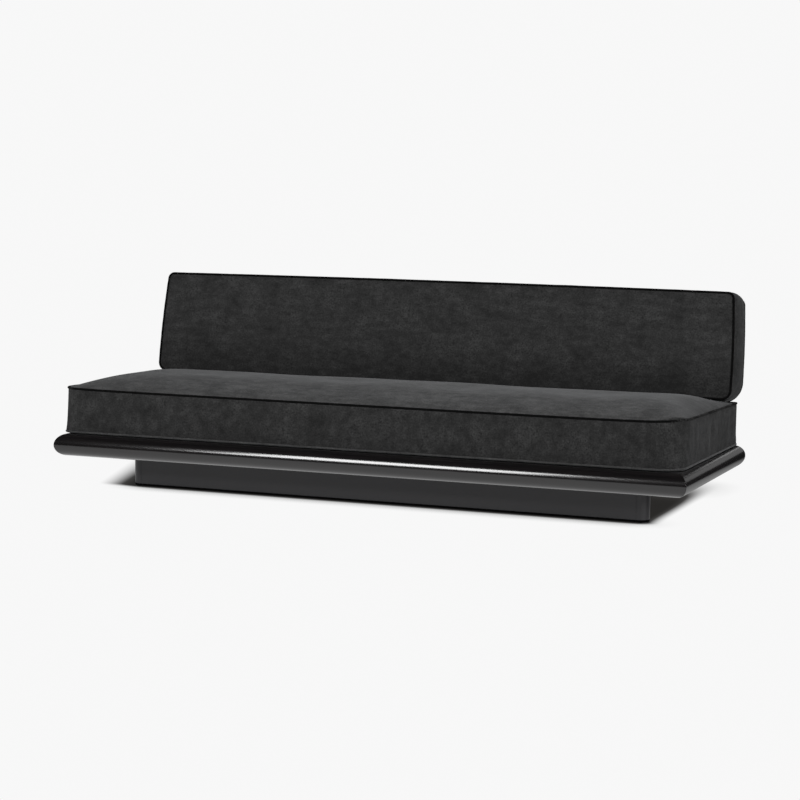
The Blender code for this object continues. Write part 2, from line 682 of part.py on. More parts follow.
def make_bearers(cleats, cleat_middles, cleat_low):
    """Cross bearers under the deck, the outer ones bolted to the plinth's cleats."""
    reach = HALF_DEPTH - RAIL_WIDTH - GAP
    top = PLATFORM_TOP - DECK_THICKNESS - GAP
    bearers = []
    for number, x in enumerate(bearer_places(), start=1):
        low = (x - BEARER_WIDTH / 2, -reach, PLATFORM_BOTTOM)
        high = (x + BEARER_WIDTH / 2, reach, top)
        bearers.append(block(f"cross_bearer_{number}", low, high, SOFTWOOD))
    tip = top - BOLT_COVER
    head_top = cleat_low - GAP
    profile = [
        (0, tip),
        (BOLT_RADIUS, tip),
        (BOLT_RADIUS, head_top),
        (BOLT_HEAD_RADIUS, head_top),
        (BOLT_HEAD_RADIUS, head_top - BOLT_HEAD_HEIGHT),
        (0, head_top - BOLT_HEAD_HEIGHT),
    ]
    for bearer, x_word in ((bearers[0], "left"), (bearers[-1], "right")):
        for y_word, y in cleat_middles.items():
            name = f"plinth_bolt_{y_word}_{x_word}"
            x = bearer.location.x
            turned(name, profile, (x, y, 0), ZINC)
            hole = cylinder_cutter(
                "hole_" + name, BOLT_RADIUS + BORE_CLEARANCE,
                (x, y, head_top - BOLT_HEAD_HEIGHT), (x, y, tip + GAP))
            cut(bearer, hole)
            cut(cleats[y_word], hole)


def rail_profile():
    """Section of a rail: x is the distance in from its outer edge, y is the height."""
    radius = PLATFORM_THICKNESS / 2
    nose = arc((radius, 0), radius, 1.5 * math.pi, 0.5 * math.pi, RIM_STEPS)
    ledge = radius - DECK_THICKNESS - GAP
    inner = RAIL_WIDTH
    rebate = inner - RAIL_LEDGE
    return nose + [(rebate, radius), (rebate, ledge), (inner, ledge), (inner, -radius)]


def make_rail(name, length, turn, place):
    """One side of the platform's edge: the section drawn out, then mitred at both ends."""
    mesh = outline_mesh(name, [rail_profile()], length)
    work = bmesh.new()
    work.from_mesh(mesh)
    for sign in (-1, 1):
        geometry = work.verts[:] + work.edges[:] + work.faces[:]
        plane = (0, 0, sign * (length / 2 - GAP))
        normal = Vector((1, 0, sign)).normalized()
        bmesh.ops.bisect_plane(work, geom=geometry, plane_co=plane, plane_no=normal, clear_outer=True)
        open_edges = [edge for edge in work.edges if edge.is_boundary]
        bmesh.ops.edgeloop_fill(work, edges=open_edges)
    bmesh.ops.recalc_face_normals(work, faces=work.faces)
    work.to_mesh(mesh)
    work.free()
    mesh.shade_smooth()
    mesh.set_sharp_from_angle(angle=math.radians(RAIL_SHARP_DEG))
    rail = finish_object(name, mesh, EBONISED, SOFA, place)
    rail.rotation_euler = (math.pi / 2, 0, turn)
    return rail


def make_platform():
    middle = (PLATFORM_BOTTOM + PLATFORM_TOP) / 2
    make_rail("front_rail", PLATFORM_LENGTH, math.pi / 2, (0, -HALF_DEPTH, middle))
    rear = make_rail("rear_rail", PLATFORM_LENGTH, -math.pi / 2, (0, HALF_DEPTH, middle))
    make_rail("left_rail", PLATFORM_DEPTH, 0, (-HALF_LENGTH, 0, middle))
    make_rail("right_rail", PLATFORM_DEPTH, math.pi, (HALF_LENGTH, 0, middle))
    edge = RAIL_WIDTH - RAIL_LEDGE + GAP
    low = (-HALF_LENGTH + edge, -HALF_DEPTH + edge, PLATFORM_TOP - DECK_THICKNESS)
    high = (HALF_LENGTH - edge, HALF_DEPTH - edge, PLATFORM_TOP)
    deck = block("deck_panel", low, high, PLYWOOD)
    return deck, rear


# Back support


def bent_outline(points, bends, thickness):
    """Outline of a flat bar bent along a line of points, with a bend radius at each inner one."""
    sides = ([], [])
    for side, offset in zip(sides, (thickness / 2, -thickness / 2)):
        for i, point in enumerate(points):
            here = Vector(point)
            if i in (0, len(points) - 1):
                other = Vector(points[1] if i == 0 else points[-2])
                ahead = (other - here if i == 0 else here - other).normalized()
                across = Vector((-ahead.y, ahead.x))
                side.append(tuple(here + across * offset))
                continue
            before = (here - Vector(points[i - 1])).normalized()
            after = (Vector(points[i + 1]) - here).normalized()
            turn = math.atan2(before.x * after.y - before.y * after.x, before.dot(after))
            radius = bends[i - 1]
            start = here - before * radius * math.tan(abs(turn) / 2)
            inward = Vector((-before.y, before.x)) * math.copysign(1, turn)
            centre = start + inward * radius
            first = math.atan2(-inward.y, -inward.x)
            own = radius - offset * math.copysign(1, turn)
            side += arc(centre, own, first, first + turn, BEND_STEPS)
    return sides[0] + sides[1][::-1]


def screw_profile(top, tip, extra=0.0):
    """A countersunk screw; extra makes the same shape as a cutter for its hole."""
    head = SCREW_HEAD_RADIUS + extra
    shank = SCREW_RADIUS + extra
    high = top + extra
    low = tip - extra
    rim = top - SCREW_HEAD_RIM
    neck = top - SCREW_HEAD_HEIGHT - extra
    return [(0, high), (head, high), (head, rim), (shank, neck), (shank, low), (0, low)]


def make_back_support(deck, rear_rail):
    """Three bent steel uprights, let into the deck and screwed down under the seat."""
    rise_length = (BAR_REACH + BAR_CRANK_DROP) / math.cos(LEAN)
    foot_front = BAR_Y - BAR_FOOT_LENGTH
    line = [
        (foot_front, FOOT_Z),
        (BAR_Y, FOOT_Z),
        (BAR_Y, CRANK_Z),
        (BAR_Y + rise_length * math.sin(LEAN), CRANK_Z + rise_length * math.cos(LEAN)),
    ]
    outline = bent_outline(line, (BAR_FOOT_BEND, BAR_CRANK_BEND), BAR_THICKNESS)
    deck_edge = HALF_DEPTH - RAIL_WIDTH + RAIL_LEDGE
    front_screw = (foot_front + deck_edge) / 2
    rear_screw = BAR_Y - FOOT_SCREW_SETBACK
    screws = {
        "front": (front_screw, PLATFORM_TOP - DECK_THICKNESS + DECK_SCREW_COVER, deck),
        "rear": (rear_screw, PLATFORM_BOTTOM + RAIL_SCREW_COVER, rear_rail),
    }
    half = BAR_WIDTH / 2 + GAP
    for x, word in zip(BAR_PLACES, SIDE_WORDS):
        mesh = outline_mesh(f"back_upright_{word}", [outline], BAR_WIDTH)
        upright = finish_object(f"back_upright_{word}", mesh, STEEL, SOFA, (x, 0, 0))
        upright.rotation_euler = (math.pi / 2, 0, math.pi / 2)
        floor = FOOT_TOP - BAR_THICKNESS - GAP
        recess = block(
            f"recess_{word}", (x - half, foot_front - GAP, floor),
            (x + half, HALF_DEPTH, PLATFORM_TOP + BAR_THICKNESS), None, collection=CUTTERS)
        cut(deck, recess)
        cut(rear_rail, recess)
        for place, (y, tip, wood) in screws.items():
            name = f"upright_screw_{word}_{place}"
            turned(name, screw_profile(FOOT_TOP, tip), (x, y, 0), ZINC)
            hole_profile = screw_profile(FOOT_TOP, tip, BORE_CLEARANCE)
            hole = turned("hole_" + name, hole_profile, (x, y, 0), None, collection=CUTTERS)
            cut(upright, hole)
            cut(wood, hole)


# Zips


def zip_tape(name, half_length, location, tilt, parent):
    """A tape with the raised row of teeth along its middle, drawn along X."""
    half, ridge = ZIP_WIDTH / 2 - GAP, ZIP_RIDGE_WIDTH / 2
    base, tooth = COVER_THICKNESS, COVER_THICKNESS + ZIP_RIDGE_HEIGHT
    loop = [
        (-half, 0), (half, 0), (half, base), (ridge, base),
        (ridge, tooth), (-ridge, tooth), (-ridge, base), (-half, base),
    ]
    curve = outline_curve(name, [loop], 2 * half_length)
    tape = finish_object(name, curve, ZIP_TAPE, parent, location)
    tape.rotation_euler = tilt
    return tape


def zip_slider(name, first_corner, along_pull, out, parent):
    """Slider with its pull tab; out and along_pull are unit axes in the cushion's frame."""
    start = Vector(first_corner)
    along = Vector((1, 0, 0))
    side = Vector(along_pull)
    face = Vector(out)
    body_far = start + along * SLIDER_LENGTH + side * SLIDER_WIDTH + face * SLIDER_HEIGHT
    body = span_block(name, start, body_far, ZINC, parent)
    tab_start = start + along * (SLIDER_LENGTH - PULL_WIDTH) / 2 + side * SLIDER_WIDTH / 2
    tab_start += face * (SLIDER_HEIGHT - PULL_THICKNESS) / 2
    tab_far = tab_start + along * PULL_WIDTH + side * PULL_LENGTH + face * PULL_THICKNESS
    tab = span_block("tab_" + name, tab_start, tab_far, None, parent, CUTTERS)
    weld_on(body, tab)
    return body


def span_block(name, first, second, material, parent, collection=None):
    """A box between any two opposite corners."""
    low = [min(a, b) for a, b in zip(first, second)]
    high = [max(a, b) for a, b in zip(first, second)]
    return block(name, low, high, material, parent, collection)


# Seat cushion


def make_seat():
    form = CushionForm(
        SEAT_HALF_LENGTH, SEAT_HALF_DEPTH, (flat_face, seat_seam), (flat_face, seat_top),
        ((SEAT_BOTTOM_CORNER,) * 2, (SEAT_TOP_CORNER,) * 2), (SEAT_DRAW_IN, 0, SEAT_DRAW_IN), 0)
    face_panel("seat_top_panel", form, True, SEAT_RINGS, 0, VELVET, SEAT)
    face_panel("seat_bottom_panel", form, False, 2, -PIPING_RADIUS, LINING, SEAT)
    boxing = boxing_band("seat_boxing", form, SEAT_BOXING_HEIGHT, VELVET, SEAT)
    piping("seat_top_piping", form, 1, SEAT)
    piping("seat_bottom_piping", form, 0, SEAT)

    work = bmesh.new()
    floor = form.face(2 * SEAM_STEP, False, FOAM_STEP - PIPING_RADIUS)
    face_insets = form.insets(SEAM_STEP, SEAT_RINGS)[1:]
    top_rings = [form.face(inset, True, -FOAM_STEP) for inset in face_insets]
    rows = add_rings(work, [floor] + foam_wall(form, SEAT_BOXING_HEIGHT) + top_rings)
    fill_ring(work, rows[0])
    fill_ring(work, rows[-1])
    work_to_part(work, "seat_foam", FOAM, SEAT)

    # The zip lies in the rear boxing, half way up
    zip_half = SEAT_HALF_LENGTH - ZIP_END_MARGIN
    zip_z = (SEAT_BOXING_HEIGHT - SEAT_RAKE) / 2
    outside = SEAT_HALF_DEPTH - GAP
    slot_depth = 2 * COVER_THICKNESS
    slot = block(
        "slot_seat_zip", (-zip_half, outside - slot_depth, zip_z - ZIP_WIDTH / 2),
        (zip_half, outside + slot_depth, zip_z + ZIP_WIDTH / 2), None, SEAT, CUTTERS)
    cut(boxing, slot)
    tape_place = (0, outside - COVER_THICKNESS, zip_z)
    zip_tape("seat_zip_tape", zip_half - GAP, tape_place, (0, math.pi / 2, 0), SEAT)
    slider_y = outside - COVER_THICKNESS + ZIP_CLEAR
    slider_start = (-zip_half + SLIDER_LENGTH, slider_y, zip_z + SLIDER_WIDTH / 2)
    zip_slider("seat_zip_slider", slider_start, (0, 0, -1), (0, 1, 0), SEAT)


# Back cushion


def make_back():
    form = CushionForm(
        BACK_LENGTH / 2, BACK_HEIGHT / 2, (flat_face, back_front_seam), (back_rear, back_front),
        (BACK_REAR_CORNERS, BACK_FRONT_CORNERS), (0, -BACK_BOW, -BACK_BOW), BACK_TAPER)
    middle = make_empty("back_middle", (0, BACK_MIDDLE, 0), parent=BACK)
    face_panel("back_front_panel", form, True, BACK_RINGS, 0, VELVET, middle)
    face_panel("back_rear_panel", form, False, BACK_RINGS, 0, VELVET, middle)
    boxing = boxing_band("back_boxing", form, BACK_THICKNESS, VELVET, middle)
    piping("back_front_piping", form, 1, middle)
    piping("back_rear_piping", form, 0, middle)

    front_share = (BOARD_FRONT_W + GAP) / BACK_THICKNESS
    rear_share = (BOARD_REAR_W - GAP) / BACK_THICKNESS
    face_insets = form.insets(SEAM_STEP, BACK_RINGS)[1:]

    work = bmesh.new()
    swell = [form.face(inset, True, -FOAM_STEP) for inset in face_insets]
    rows = add_rings(work, foam_wall(form, BACK_THICKNESS, low=front_share) + swell)
    fill_ring(work, rows[0])
    fill_ring(work, rows[-1])
    work_to_part(work, "back_foam_front", FOAM, middle)

    work = bmesh.new()
    swell = [form.face(inset, False, FOAM_STEP) for inset in face_insets]
    rows = add_rings(work, foam_wall(form, BACK_THICKNESS, high=rear_share)[::-1] + swell)
    fill_ring(work, rows[0])
    fill_ring(work, rows[-1])
    rear_foam = work_to_part(work, "back_foam_rear", FOAM, middle)

    half_length = (BACK_LENGTH - BACK_TAPER) / 2 - BOARD_INSET
    half_height = BACK_MIDDLE - BOARD_INSET
    block(
        "back_board", (-half_length, -half_height, BOARD_REAR_W),
        (half_length, half_height, BOARD_FRONT_W), PLYWOOD, middle)

    outer = rectangle(SOCKET_OUTER_WIDTH, SOCKET_OUTER)
    inner = rectangle(SOCKET_INNER_WIDTH, SOCKET_INNER)
    groove_half = SOCKET_OUTER_WIDTH / 2 + GAP
    slit_half = BAR_WIDTH / 2 + SLOT_CLEARANCE
    slit_deep = BAR_THICKNESS / 2 + SLOT_CLEARANCE
    for x, word in zip(BAR_PLACES, SIDE_WORDS):
        curve = outline_curve(f"back_socket_{word}", [outer, inner], SOCKET_LENGTH)
        place = (x, SOCKET_FLOOR + SOCKET_LENGTH / 2, BAR_W)
        socket = finish_object(f"back_socket_{word}", curve, STEEL, BACK, place)
        socket.rotation_euler = (math.pi / 2, 0, 0)
        groove = block(
            f"groove_{word}", (x - groove_half, -BACK_HEIGHT, BAR_W - SOCKET_OUTER / 2 - GAP),
            (x + groove_half, 2 * BACK_HEIGHT, BOARD_FRONT_W), None, BACK, CUTTERS)
        cut(rear_foam, groove)
        slit = block(
            f"slit_{word}", (x - slit_half, -SEAM_STEP, BAR_W - slit_deep),
            (x + slit_half, SEAM_STEP, BAR_W + slit_deep), None, BACK, CUTTERS)
        cut(boxing, slit)

    # The zip lies in the bottom boxing, near the rear seam
    zip_half = BACK_LENGTH / 2 - ZIP_END_MARGIN
    slot_depth = 2 * COVER_THICKNESS
    slot = block(
        "slot_back_zip", (-zip_half, GAP - slot_depth, BACK_ZIP_SETBACK - ZIP_WIDTH / 2),
        (zip_half, GAP + slot_depth, BACK_ZIP_SETBACK + ZIP_WIDTH / 2), None, BACK, CUTTERS)
    cut(boxing, slot)
    tape_place = (0, GAP + COVER_THICKNESS, BACK_ZIP_SETBACK)
    zip_tape("back_zip_tape", zip_half - GAP, tape_place, (math.pi, math.pi / 2, 0), BACK)
    slider_y = GAP + COVER_THICKNESS - ZIP_CLEAR
    slider_start = (-zip_half + SLIDER_LENGTH, slider_y, BACK_ZIP_SETBACK + SLIDER_WIDTH / 2)
    zip_slider("back_zip_slider", slider_start, (0, 0, -1), (0, -1, 0), BACK)


def rectangle(width, height):
    x, y = width / 2, height / 2
    return [(-x, -y), (x, -y), (x, y), (-x, y)]


plinth_cleats, plinth_cleat_middles, plinth_cleat_low = make_plinth()
make_bearers(plinth_cleats, plinth_cleat_middles, plinth_cleat_low)
platform_deck, platform_rear_rail = make_platform()
make_back_support(platform_deck, platform_rear_rail)
make_seat()
make_back()
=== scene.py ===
import math

import bmesh
import bpy
import numpy as np
from mathutils import Matrix, Vector


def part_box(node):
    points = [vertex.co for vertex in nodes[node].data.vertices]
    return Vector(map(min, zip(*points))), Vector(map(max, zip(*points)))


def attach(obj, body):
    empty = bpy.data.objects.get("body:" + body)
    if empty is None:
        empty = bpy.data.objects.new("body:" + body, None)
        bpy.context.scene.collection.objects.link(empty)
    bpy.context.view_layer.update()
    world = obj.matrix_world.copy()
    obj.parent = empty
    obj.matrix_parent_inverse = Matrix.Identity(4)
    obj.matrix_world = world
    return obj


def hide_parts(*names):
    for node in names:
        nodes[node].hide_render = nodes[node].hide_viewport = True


# Looks of a low platform sofa: velvet cushions with piping on an ebonised bullnose platform.
# Metres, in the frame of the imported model: +X right, -Y front, +Z up.

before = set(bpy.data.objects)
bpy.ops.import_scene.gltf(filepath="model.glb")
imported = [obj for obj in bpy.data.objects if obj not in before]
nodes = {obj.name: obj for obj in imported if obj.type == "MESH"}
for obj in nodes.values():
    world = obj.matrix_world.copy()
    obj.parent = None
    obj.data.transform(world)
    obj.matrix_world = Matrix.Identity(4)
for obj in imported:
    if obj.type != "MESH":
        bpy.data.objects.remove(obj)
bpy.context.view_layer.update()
threeWords = ("left", "middle", "right")
sideSigns = {"left": -1, "right": 1}
depthSigns = {"front": -1, "rear": 1}
print("frame loaded:", len(nodes), "nodes")


# Mesh tools

weldNear = 0.000002


def buildMesh(name, points, quads, caps=(), uv=None):
    # points (n, 3), quads (m, 4) and a few many-sided caps, written as whole arrays
    points = np.asarray(points, np.float32)
    quads = np.asarray(quads, np.int32).reshape(-1, 4)
    corners = np.concatenate([quads.ravel()] + [np.asarray(c, np.int32) for c in caps])
    sizes = np.concatenate([np.full(len(quads), 4)] + [[len(c)] for c in caps]).astype(np.int32)
    starts = np.concatenate([[0], np.cumsum(sizes)[:-1]]).astype(np.int32)
    mesh = bpy.data.meshes.new(name)
    mesh.vertices.add(len(points))
    mesh.vertices.foreach_set("co", points.ravel())
    mesh.loops.add(len(corners))
    mesh.loops.foreach_set("vertex_index", corners)
    mesh.polygons.add(len(sizes))
    mesh.polygons.foreach_set("loop_start", starts)
    if uv is not None:
        flat = np.zeros((len(corners), 2), np.float32)
        flat[: len(quads) * 4] = np.asarray(uv, np.float32).reshape(-1, 2)
        mesh.uv_layers.new(name="cloth").uv.foreach_set("vector", flat.ravel())
    mesh.update(calc_edges=True)
    mesh.validate()
    return mesh


def gridQuads(rows, columns, closed=False):
    # quads between neighbouring rows; closed joins the last column to the first
    i = np.arange(rows - 1)[:, None]
    j = np.arange(columns if closed else columns - 1)[None, :]
    k = (j + 1) % columns
    quads = np.stack([i * columns + j, i * columns + k, (i + 1) * columns + k, (i + 1) * columns + j], -1)
    return quads.reshape(-1, 4)


def ringQuads(rows, columns):
    # a grid that is closed both ways
    return gridQuads(rows + 1, columns, closed=True) % (rows * columns)


def gridUv(u, v):
    # corners of every quad of a grid of places, in the order of gridQuads
    uv = np.stack(np.broadcast_arrays(u, v), -1)
    return np.stack([uv[:-1, :-1], uv[:-1, 1:], uv[1:, 1:], uv[1:, :-1]], -2).reshape(-1, 4, 2)


def weld(mesh, facingOut=False):
    # joins points that fall together, drops the empty faces between them, and turns shells outwards
    # where asked
    shape = bmesh.new()
    shape.from_mesh(mesh)
    bmesh.ops.remove_doubles(shape, verts=shape.verts, dist=weldNear)
    bmesh.ops.dissolve_degenerate(shape, edges=shape.edges, dist=weldNear)
    if facingOut:
        bmesh.ops.recalc_face_normals(shape, faces=shape.faces)
    shape.to_mesh(mesh)
    shape.free()


def turnOut(mesh):
    # flip a closed mesh whose signed volume is negative
    mesh.calc_loop_triangles()
    points = np.zeros(len(mesh.vertices) * 3, np.float32)
    mesh.vertices.foreach_get("co", points)
    triangles = np.zeros(len(mesh.loop_triangles) * 3, np.int32)
    mesh.loop_triangles.foreach_get("vertices", triangles)
    a, b, c = points.reshape(-1, 3)[triangles.reshape(-1, 3)].astype(float).transpose(1, 0, 2)
    if np.einsum("ij,ij->i", a, np.cross(b, c)).sum() < 0:
        mesh.flip_normals()


def tubeMesh(name, points, welded=False):
    # rows of points (rows, count, 3) joined round and along, with a face over each end
    rows, count = points.shape[:2]
    caps = [np.arange(count)[::-1], np.arange(count) + (rows - 1) * count]
    mesh = buildMesh(name, points.reshape(-1, 3), gridQuads(rows, count, closed=True), caps)
    if welded:
        weld(mesh)
    turnOut(mesh)
    return mesh


def putInScene(name, data):
    thing = bpy.data.objects.new(name, data)
    bpy.context.scene.collection.objects.link(thing)
    return thing


def addPiece(name, mesh, material, body, replaced=(), sharpAngle=35.0):
    # one finished piece at the origin, riding on its body
    mesh.materials.append(material)
    mesh.shade_smooth()
    mesh.set_sharp_from_angle(angle=math.radians(sharpAngle))
    piece = putInScene(name, mesh)
    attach(piece, body)
    if replaced:
        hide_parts(*replaced)
    return piece


def addModifier(piece, kind, **values):
    modifier = piece.modifiers.new(kind.lower(), kind)
    for key, value in values.items():
        setattr(modifier, key, value)


roundSharp = 40.0  # edges steeper than this stay sharp on turned, bent and cast pieces


def softenEdges(piece, width, angle):
    limit = math.radians(angle)
    addModifier(piece, "BEVEL", width=width, segments=2, limit_method="ANGLE", angle_limit=limit)


def unit(vectors):
    return vectors / np.linalg.norm(vectors, axis=1)[:, None]


def closedAhead(path):
    # direction at each point of a closed line
    return unit(np.roll(path, -1, 0) - np.roll(path, 1, 0))


def runLength(path):
    # distance along a closed line at each of its points, and once more at its end
    steps = np.linalg.norm(np.diff(path, axis=0, append=path[:1]), axis=1)
    return np.concatenate([[0], np.cumsum(steps)])


def ripple(u, v, size, seed, count=9):
    # smooth irregularity between about -1 and 1: a sum of sine waves in seeded directions
    random = np.random.default_rng(seed)
    total = 0 * (u + v)
    for i in range(count):
        angle = random.uniform(0, math.pi)
        wave = 2 * math.pi / (size * random.uniform(0.6, 1.7))
        total = total + np.sin(wave * (u * math.cos(angle) + v * math.sin(angle)) + random.uniform(0, 6.28))
    return total / math.sqrt(count)


# Node tools


def newMaterial(name, coordinates="Object"):
    material = bpy.data.materials.new(name)
    material.use_nodes = True
    tree = material.node_tree
    place = addNode(tree, "TexCoord").outputs[coordinates]
    return material, tree, tree.nodes["Principled BSDF"], place


def feed(tree, socket, value):
    # a link where the value is a socket, or else a constant
    if isinstance(value, bpy.types.NodeSocket):
        tree.links.new(value, socket)
    else:
        socket.default_value = value


def addNode(tree, kind, settings=None, **values):
    # a shader node; in0, in1 and so on are its inputs by number, and other words are inputs by name
    node = tree.nodes.new("ShaderNode" + kind)
    for key, value in (settings or {}).items():
        setattr(node, key, value)
    for key, value in values.items():
        numbered = key.startswith("in") and key[2:].isdigit()
        feed(tree, node.inputs[int(key[2:]) if numbered else key], value)
    return node


def setShader(tree, shader, **values):
    for key, value in values.items():
        feed(tree, shader.inputs[key.replace("_", " ")], value)


def mathNode(tree, operation, *values):
    node = addNode(tree, "Math", {"operation": operation})
    for socket, value in zip(node.inputs, values):
        feed(tree, socket, value)
    return node.outputs[0]


def rangeNode(tree, value, limits, first, last, way="SMOOTHSTEP"):
    # goes from first to last while the value passes between two limits
    return addNode(
        tree, "MapRange", {"interpolation_type": way}, in0=value, in1=limits[0], in2=limits[1], in3=first,
        in4=last).outputs[0]


def mixValue(tree, share, first, second):
    return addNode(tree, "Mix", in0=share, in2=first, in3=second).outputs[0]


def mixColour(tree, share, first, second):
    return addNode(tree, "Mix", {"data_type": "RGBA"}, in0=share, in6=first, in7=second).outputs[2]


def noiseNode(tree, place, scale, detail=3.0, roughness=0.55, stretch=(1, 1, 1)):
    mapped = addNode(tree, "Mapping", Vector=place, Scale=stretch).outputs[0]
    noise = addNode(tree, "TexNoise", Vector=mapped, Scale=scale, Detail=detail, Roughness=roughness)
    return noise.outputs["Fac"]


def rampNode(tree, fac, stops):
    ramp = addNode(tree, "ValToRGB", Fac=fac)
    elements = ramp.color_ramp.elements
    while len(elements) < len(stops):
        elements.new(0.5)
    for element, (position, colour) in zip(elements, stops):
        element.position = position
        element.color = (*colour, 1)
    return ramp.outputs["Color"]


def bumpNode(tree, look, height):
    # look is (strength, distance)
    return addNode(tree, "Bump", Strength=look[0], Distance=look[1], Height=height).outputs[0]


def axisNode(tree, vector, axis):
    return addNode(tree, "SeparateXYZ", Vector=vector).outputs[axis]


def grey(value, warm=0.0):
    return (value * (1 + warm), value, value * (1 - warm))


# Velvet: dark pile with soft clouds where it lies another way, small dark flecks in the brighter clouds,
# and a pale edge at low angles. Every noise is given as (scale, detail, roughness).

velvetLook = dict(
    dark=0.0105, middle=0.0255, light=0.050, stops=(0.40, 0.50, 0.61), roughness=0.88, specular=0.18,
    sheen=0.09, sheenRoughness=0.40, sheenTint=(0.95, 0.97, 1.0, 1),
    clouds=(8.0, 4.0, 0.6), patches=(36.0, 4.0, 0.66), strokes=(44.0, 3.0, 0.6), grain=(170.0, 4.0, 0.7),
    flecks=(120.0, 2.0, 0.5), pile=(900.0, 2.0, 0.6),
    cloudShare=0.24, patchShare=0.23, strokeShare=0.17, grainShare=0.36,
    fleck=0.10, fleckLimits=(0.33, 0.46), fleckClouds=(0.42, 0.60),
    patchRise=0.7, strokeRise=0.5, pileRise=0.10, bump=(0.35, 0.004))


def makeVelvet(name, look, tone=1.0, streak=(0.25, 1.0, 1.0), foot=None, ends=None):
    # foot is (low, high, share): between these heights of the face the colour is darkened, as painted shade
    # at the foot where the seat shades it
    # ends is (from, to, middle, end): how far the tone is moved in the middle and at both ends of the sofa; a
    # lift at the ends is painted light from the side, a drop in the middle is painted shade
    material, tree, shader, place = newMaterial(name, "UV")
    clouds = noiseNode(tree, place, *look["clouds"])
    patches = noiseNode(tree, place, *look["patches"])
    strokes = noiseNode(tree, place, *look["strokes"], streak)
    grain = noiseNode(tree, place, *look["grain"])
    mixed = mathNode(tree, "MULTIPLY", patches, look["patchShare"])
    for noise, share in ((clouds, "cloudShare"), (strokes, "strokeShare"), (grain, "grainShare")):
        mixed = mathNode(tree, "MULTIPLY_ADD", noise, look[share], mixed)
    flecks = noiseNode(tree, place, *look["flecks"])
    sunk = rangeNode(tree, flecks, look["fleckLimits"], look["fleck"], 0.0, "LINEAR")
    where = rangeNode(tree, clouds, look["fleckClouds"], 0.0, 1.0, "LINEAR")
    mixed = mathNode(tree, "SUBTRACT", mixed, mathNode(tree, "MULTIPLY", sunk, where))
    if foot:
        paintedFootShade = rangeNode(tree, axisNode(tree, place, 1), foot[:2], foot[2], 0.0)
        mixed = mathNode(tree, "SUBTRACT", mixed, paintedFootShade)
    if ends:
        along = axisNode(tree, addNode(tree, "TexCoord").outputs["Object"], 0)
        paintedEndLightAndShade = rangeNode(tree, mathNode(tree, "ABSOLUTE", along), ends[:2], ends[2], ends[3])
        mixed = mathNode(tree, "ADD", mixed, paintedEndLightAndShade)
    tones = [grey(look[key] * tone) for key in ("dark", "middle", "light")]
    colour = rampNode(tree, mixed, list(zip(look["stops"], tones)))
    height = mathNode(tree, "MULTIPLY_ADD", patches, look["patchRise"], clouds)
    height = mathNode(tree, "MULTIPLY_ADD", strokes, look["strokeRise"], height)
    pile = noiseNode(tree, place, *look["pile"])
    height = mathNode(tree, "MULTIPLY_ADD", pile, look["pileRise"], height)
    setShader(
        tree, shader, Base_Color=colour, Roughness=look["roughness"], Specular_IOR_Level=look["specular"],
        Normal=bumpNode(tree, look["bump"], height), Sheen_Weight=look["sheen"],
        Sheen_Roughness=look["sheenRoughness"], Sheen_Tint=look["sheenTint"])
    return material


# The cushions are one velvet, given a tone per face: the seat top lightest, then the back's rear, its front,
# and the boxing darkest. These tones are painted light and shade: lit and shaded copies of one cloth.
boxingLook = dict(velvetLook, dark=0.0092, light=0.056, sheen=0.04)
boxingStreak = (0.8, 0.45, 1.0)
# the piping cloths are near black: painted shade for the dark line along the seams; the seat's top cord is
# also painted lighter at the sofa's ends
cordShadeLook = dict(velvetLook, dark=0.0022, middle=0.0026, light=0.030, sheen=0.0, specular=0.04)
seatVelvet = makeVelvet("seat_velvet", dict(velvetLook, fleck=0.03), 0.94)
# the back and the boxing are painted lighter at both ends of the sofa, as if lit from the side
backVelvet = makeVelvet("back_velvet", velvetLook, 0.88, ends=(1.10, 1.15, 0.0, 0.044))
# the back's front face gets painted shade towards its foot, where it meets the seat
frontVelvet = makeVelvet("back_front_velvet", velvetLook, 0.79, foot=(-0.20, -0.03, 0.065))
boxingVelvet = makeVelvet("boxing_velvet", boxingLook, 0.61, boxingStreak, ends=(1.10, 1.155, 0.0, 0.036))
pipingShadeVelvet = makeVelvet("piping_velvet", dict(velvetLook, sheen=0.0, specular=0.04), 0.10)
cordShadeAndLightVelvet = makeVelvet("seat_piping_velvet", cordShadeLook, 1.0, ends=(1.11, 1.165, -0.06, 0.06))
# the seat's lower cord is a lighter tone than the cloth: a painted highlight along the seat's foot
footPipingHighlight = makeVelvet("foot_piping_painted_highlight", dict(velvetLook, sheen=0.24), 1.25)


# Lining: plain black weave, two crossed waves as bump

liningLook = dict(weave=160.0, clouds=60.0, dark=0.018, light=0.032, bump=(0.4, 0.0004), roughness=0.8)


def makeLining(name, look):
    material, tree, shader, place = newMaterial(name, "UV")
    warp, weft = [
        addNode(tree, "TexWave", {"bands_direction": way}, Vector=place, Scale=look["weave"]).outputs["Fac"]
        for way in ("X", "Y")]
    weave = mathNode(tree, "MULTIPLY", warp, weft)
    uneven = noiseNode(tree, place, look["clouds"])
    colour = rampNode(tree, uneven, [(0.3, grey(look["dark"])), (0.7, grey(look["light"]))])
    bump = bumpNode(tree, look["bump"], weave)
    setShader(tree, shader, Base_Color=colour, Roughness=look["roughness"], Normal=bump)
    return material


lining = makeLining("black_lining", liningLook)


def grainStretch(along, run, across):
    # noise drawn out along x or along y
    return (run, across, across) if along == "x" else (across, run, across)


# Ebonised wood: near-black stain with the grain just visible under semi-gloss lacquer

woodLook = dict(
    dark=(0.0022, 0.0019, 0.0021), light=(0.0070, 0.0056, 0.0058), stops=(0.35, 0.72), stretch=(1.2, 26.0),
    grain=(3.0, 5.0, 0.62), pores=(14.0, 3.0, 0.7), roughness=0.16, poreShare=0.02, specular=0.5, coat=0.30,
    coatRoughness=0.14)


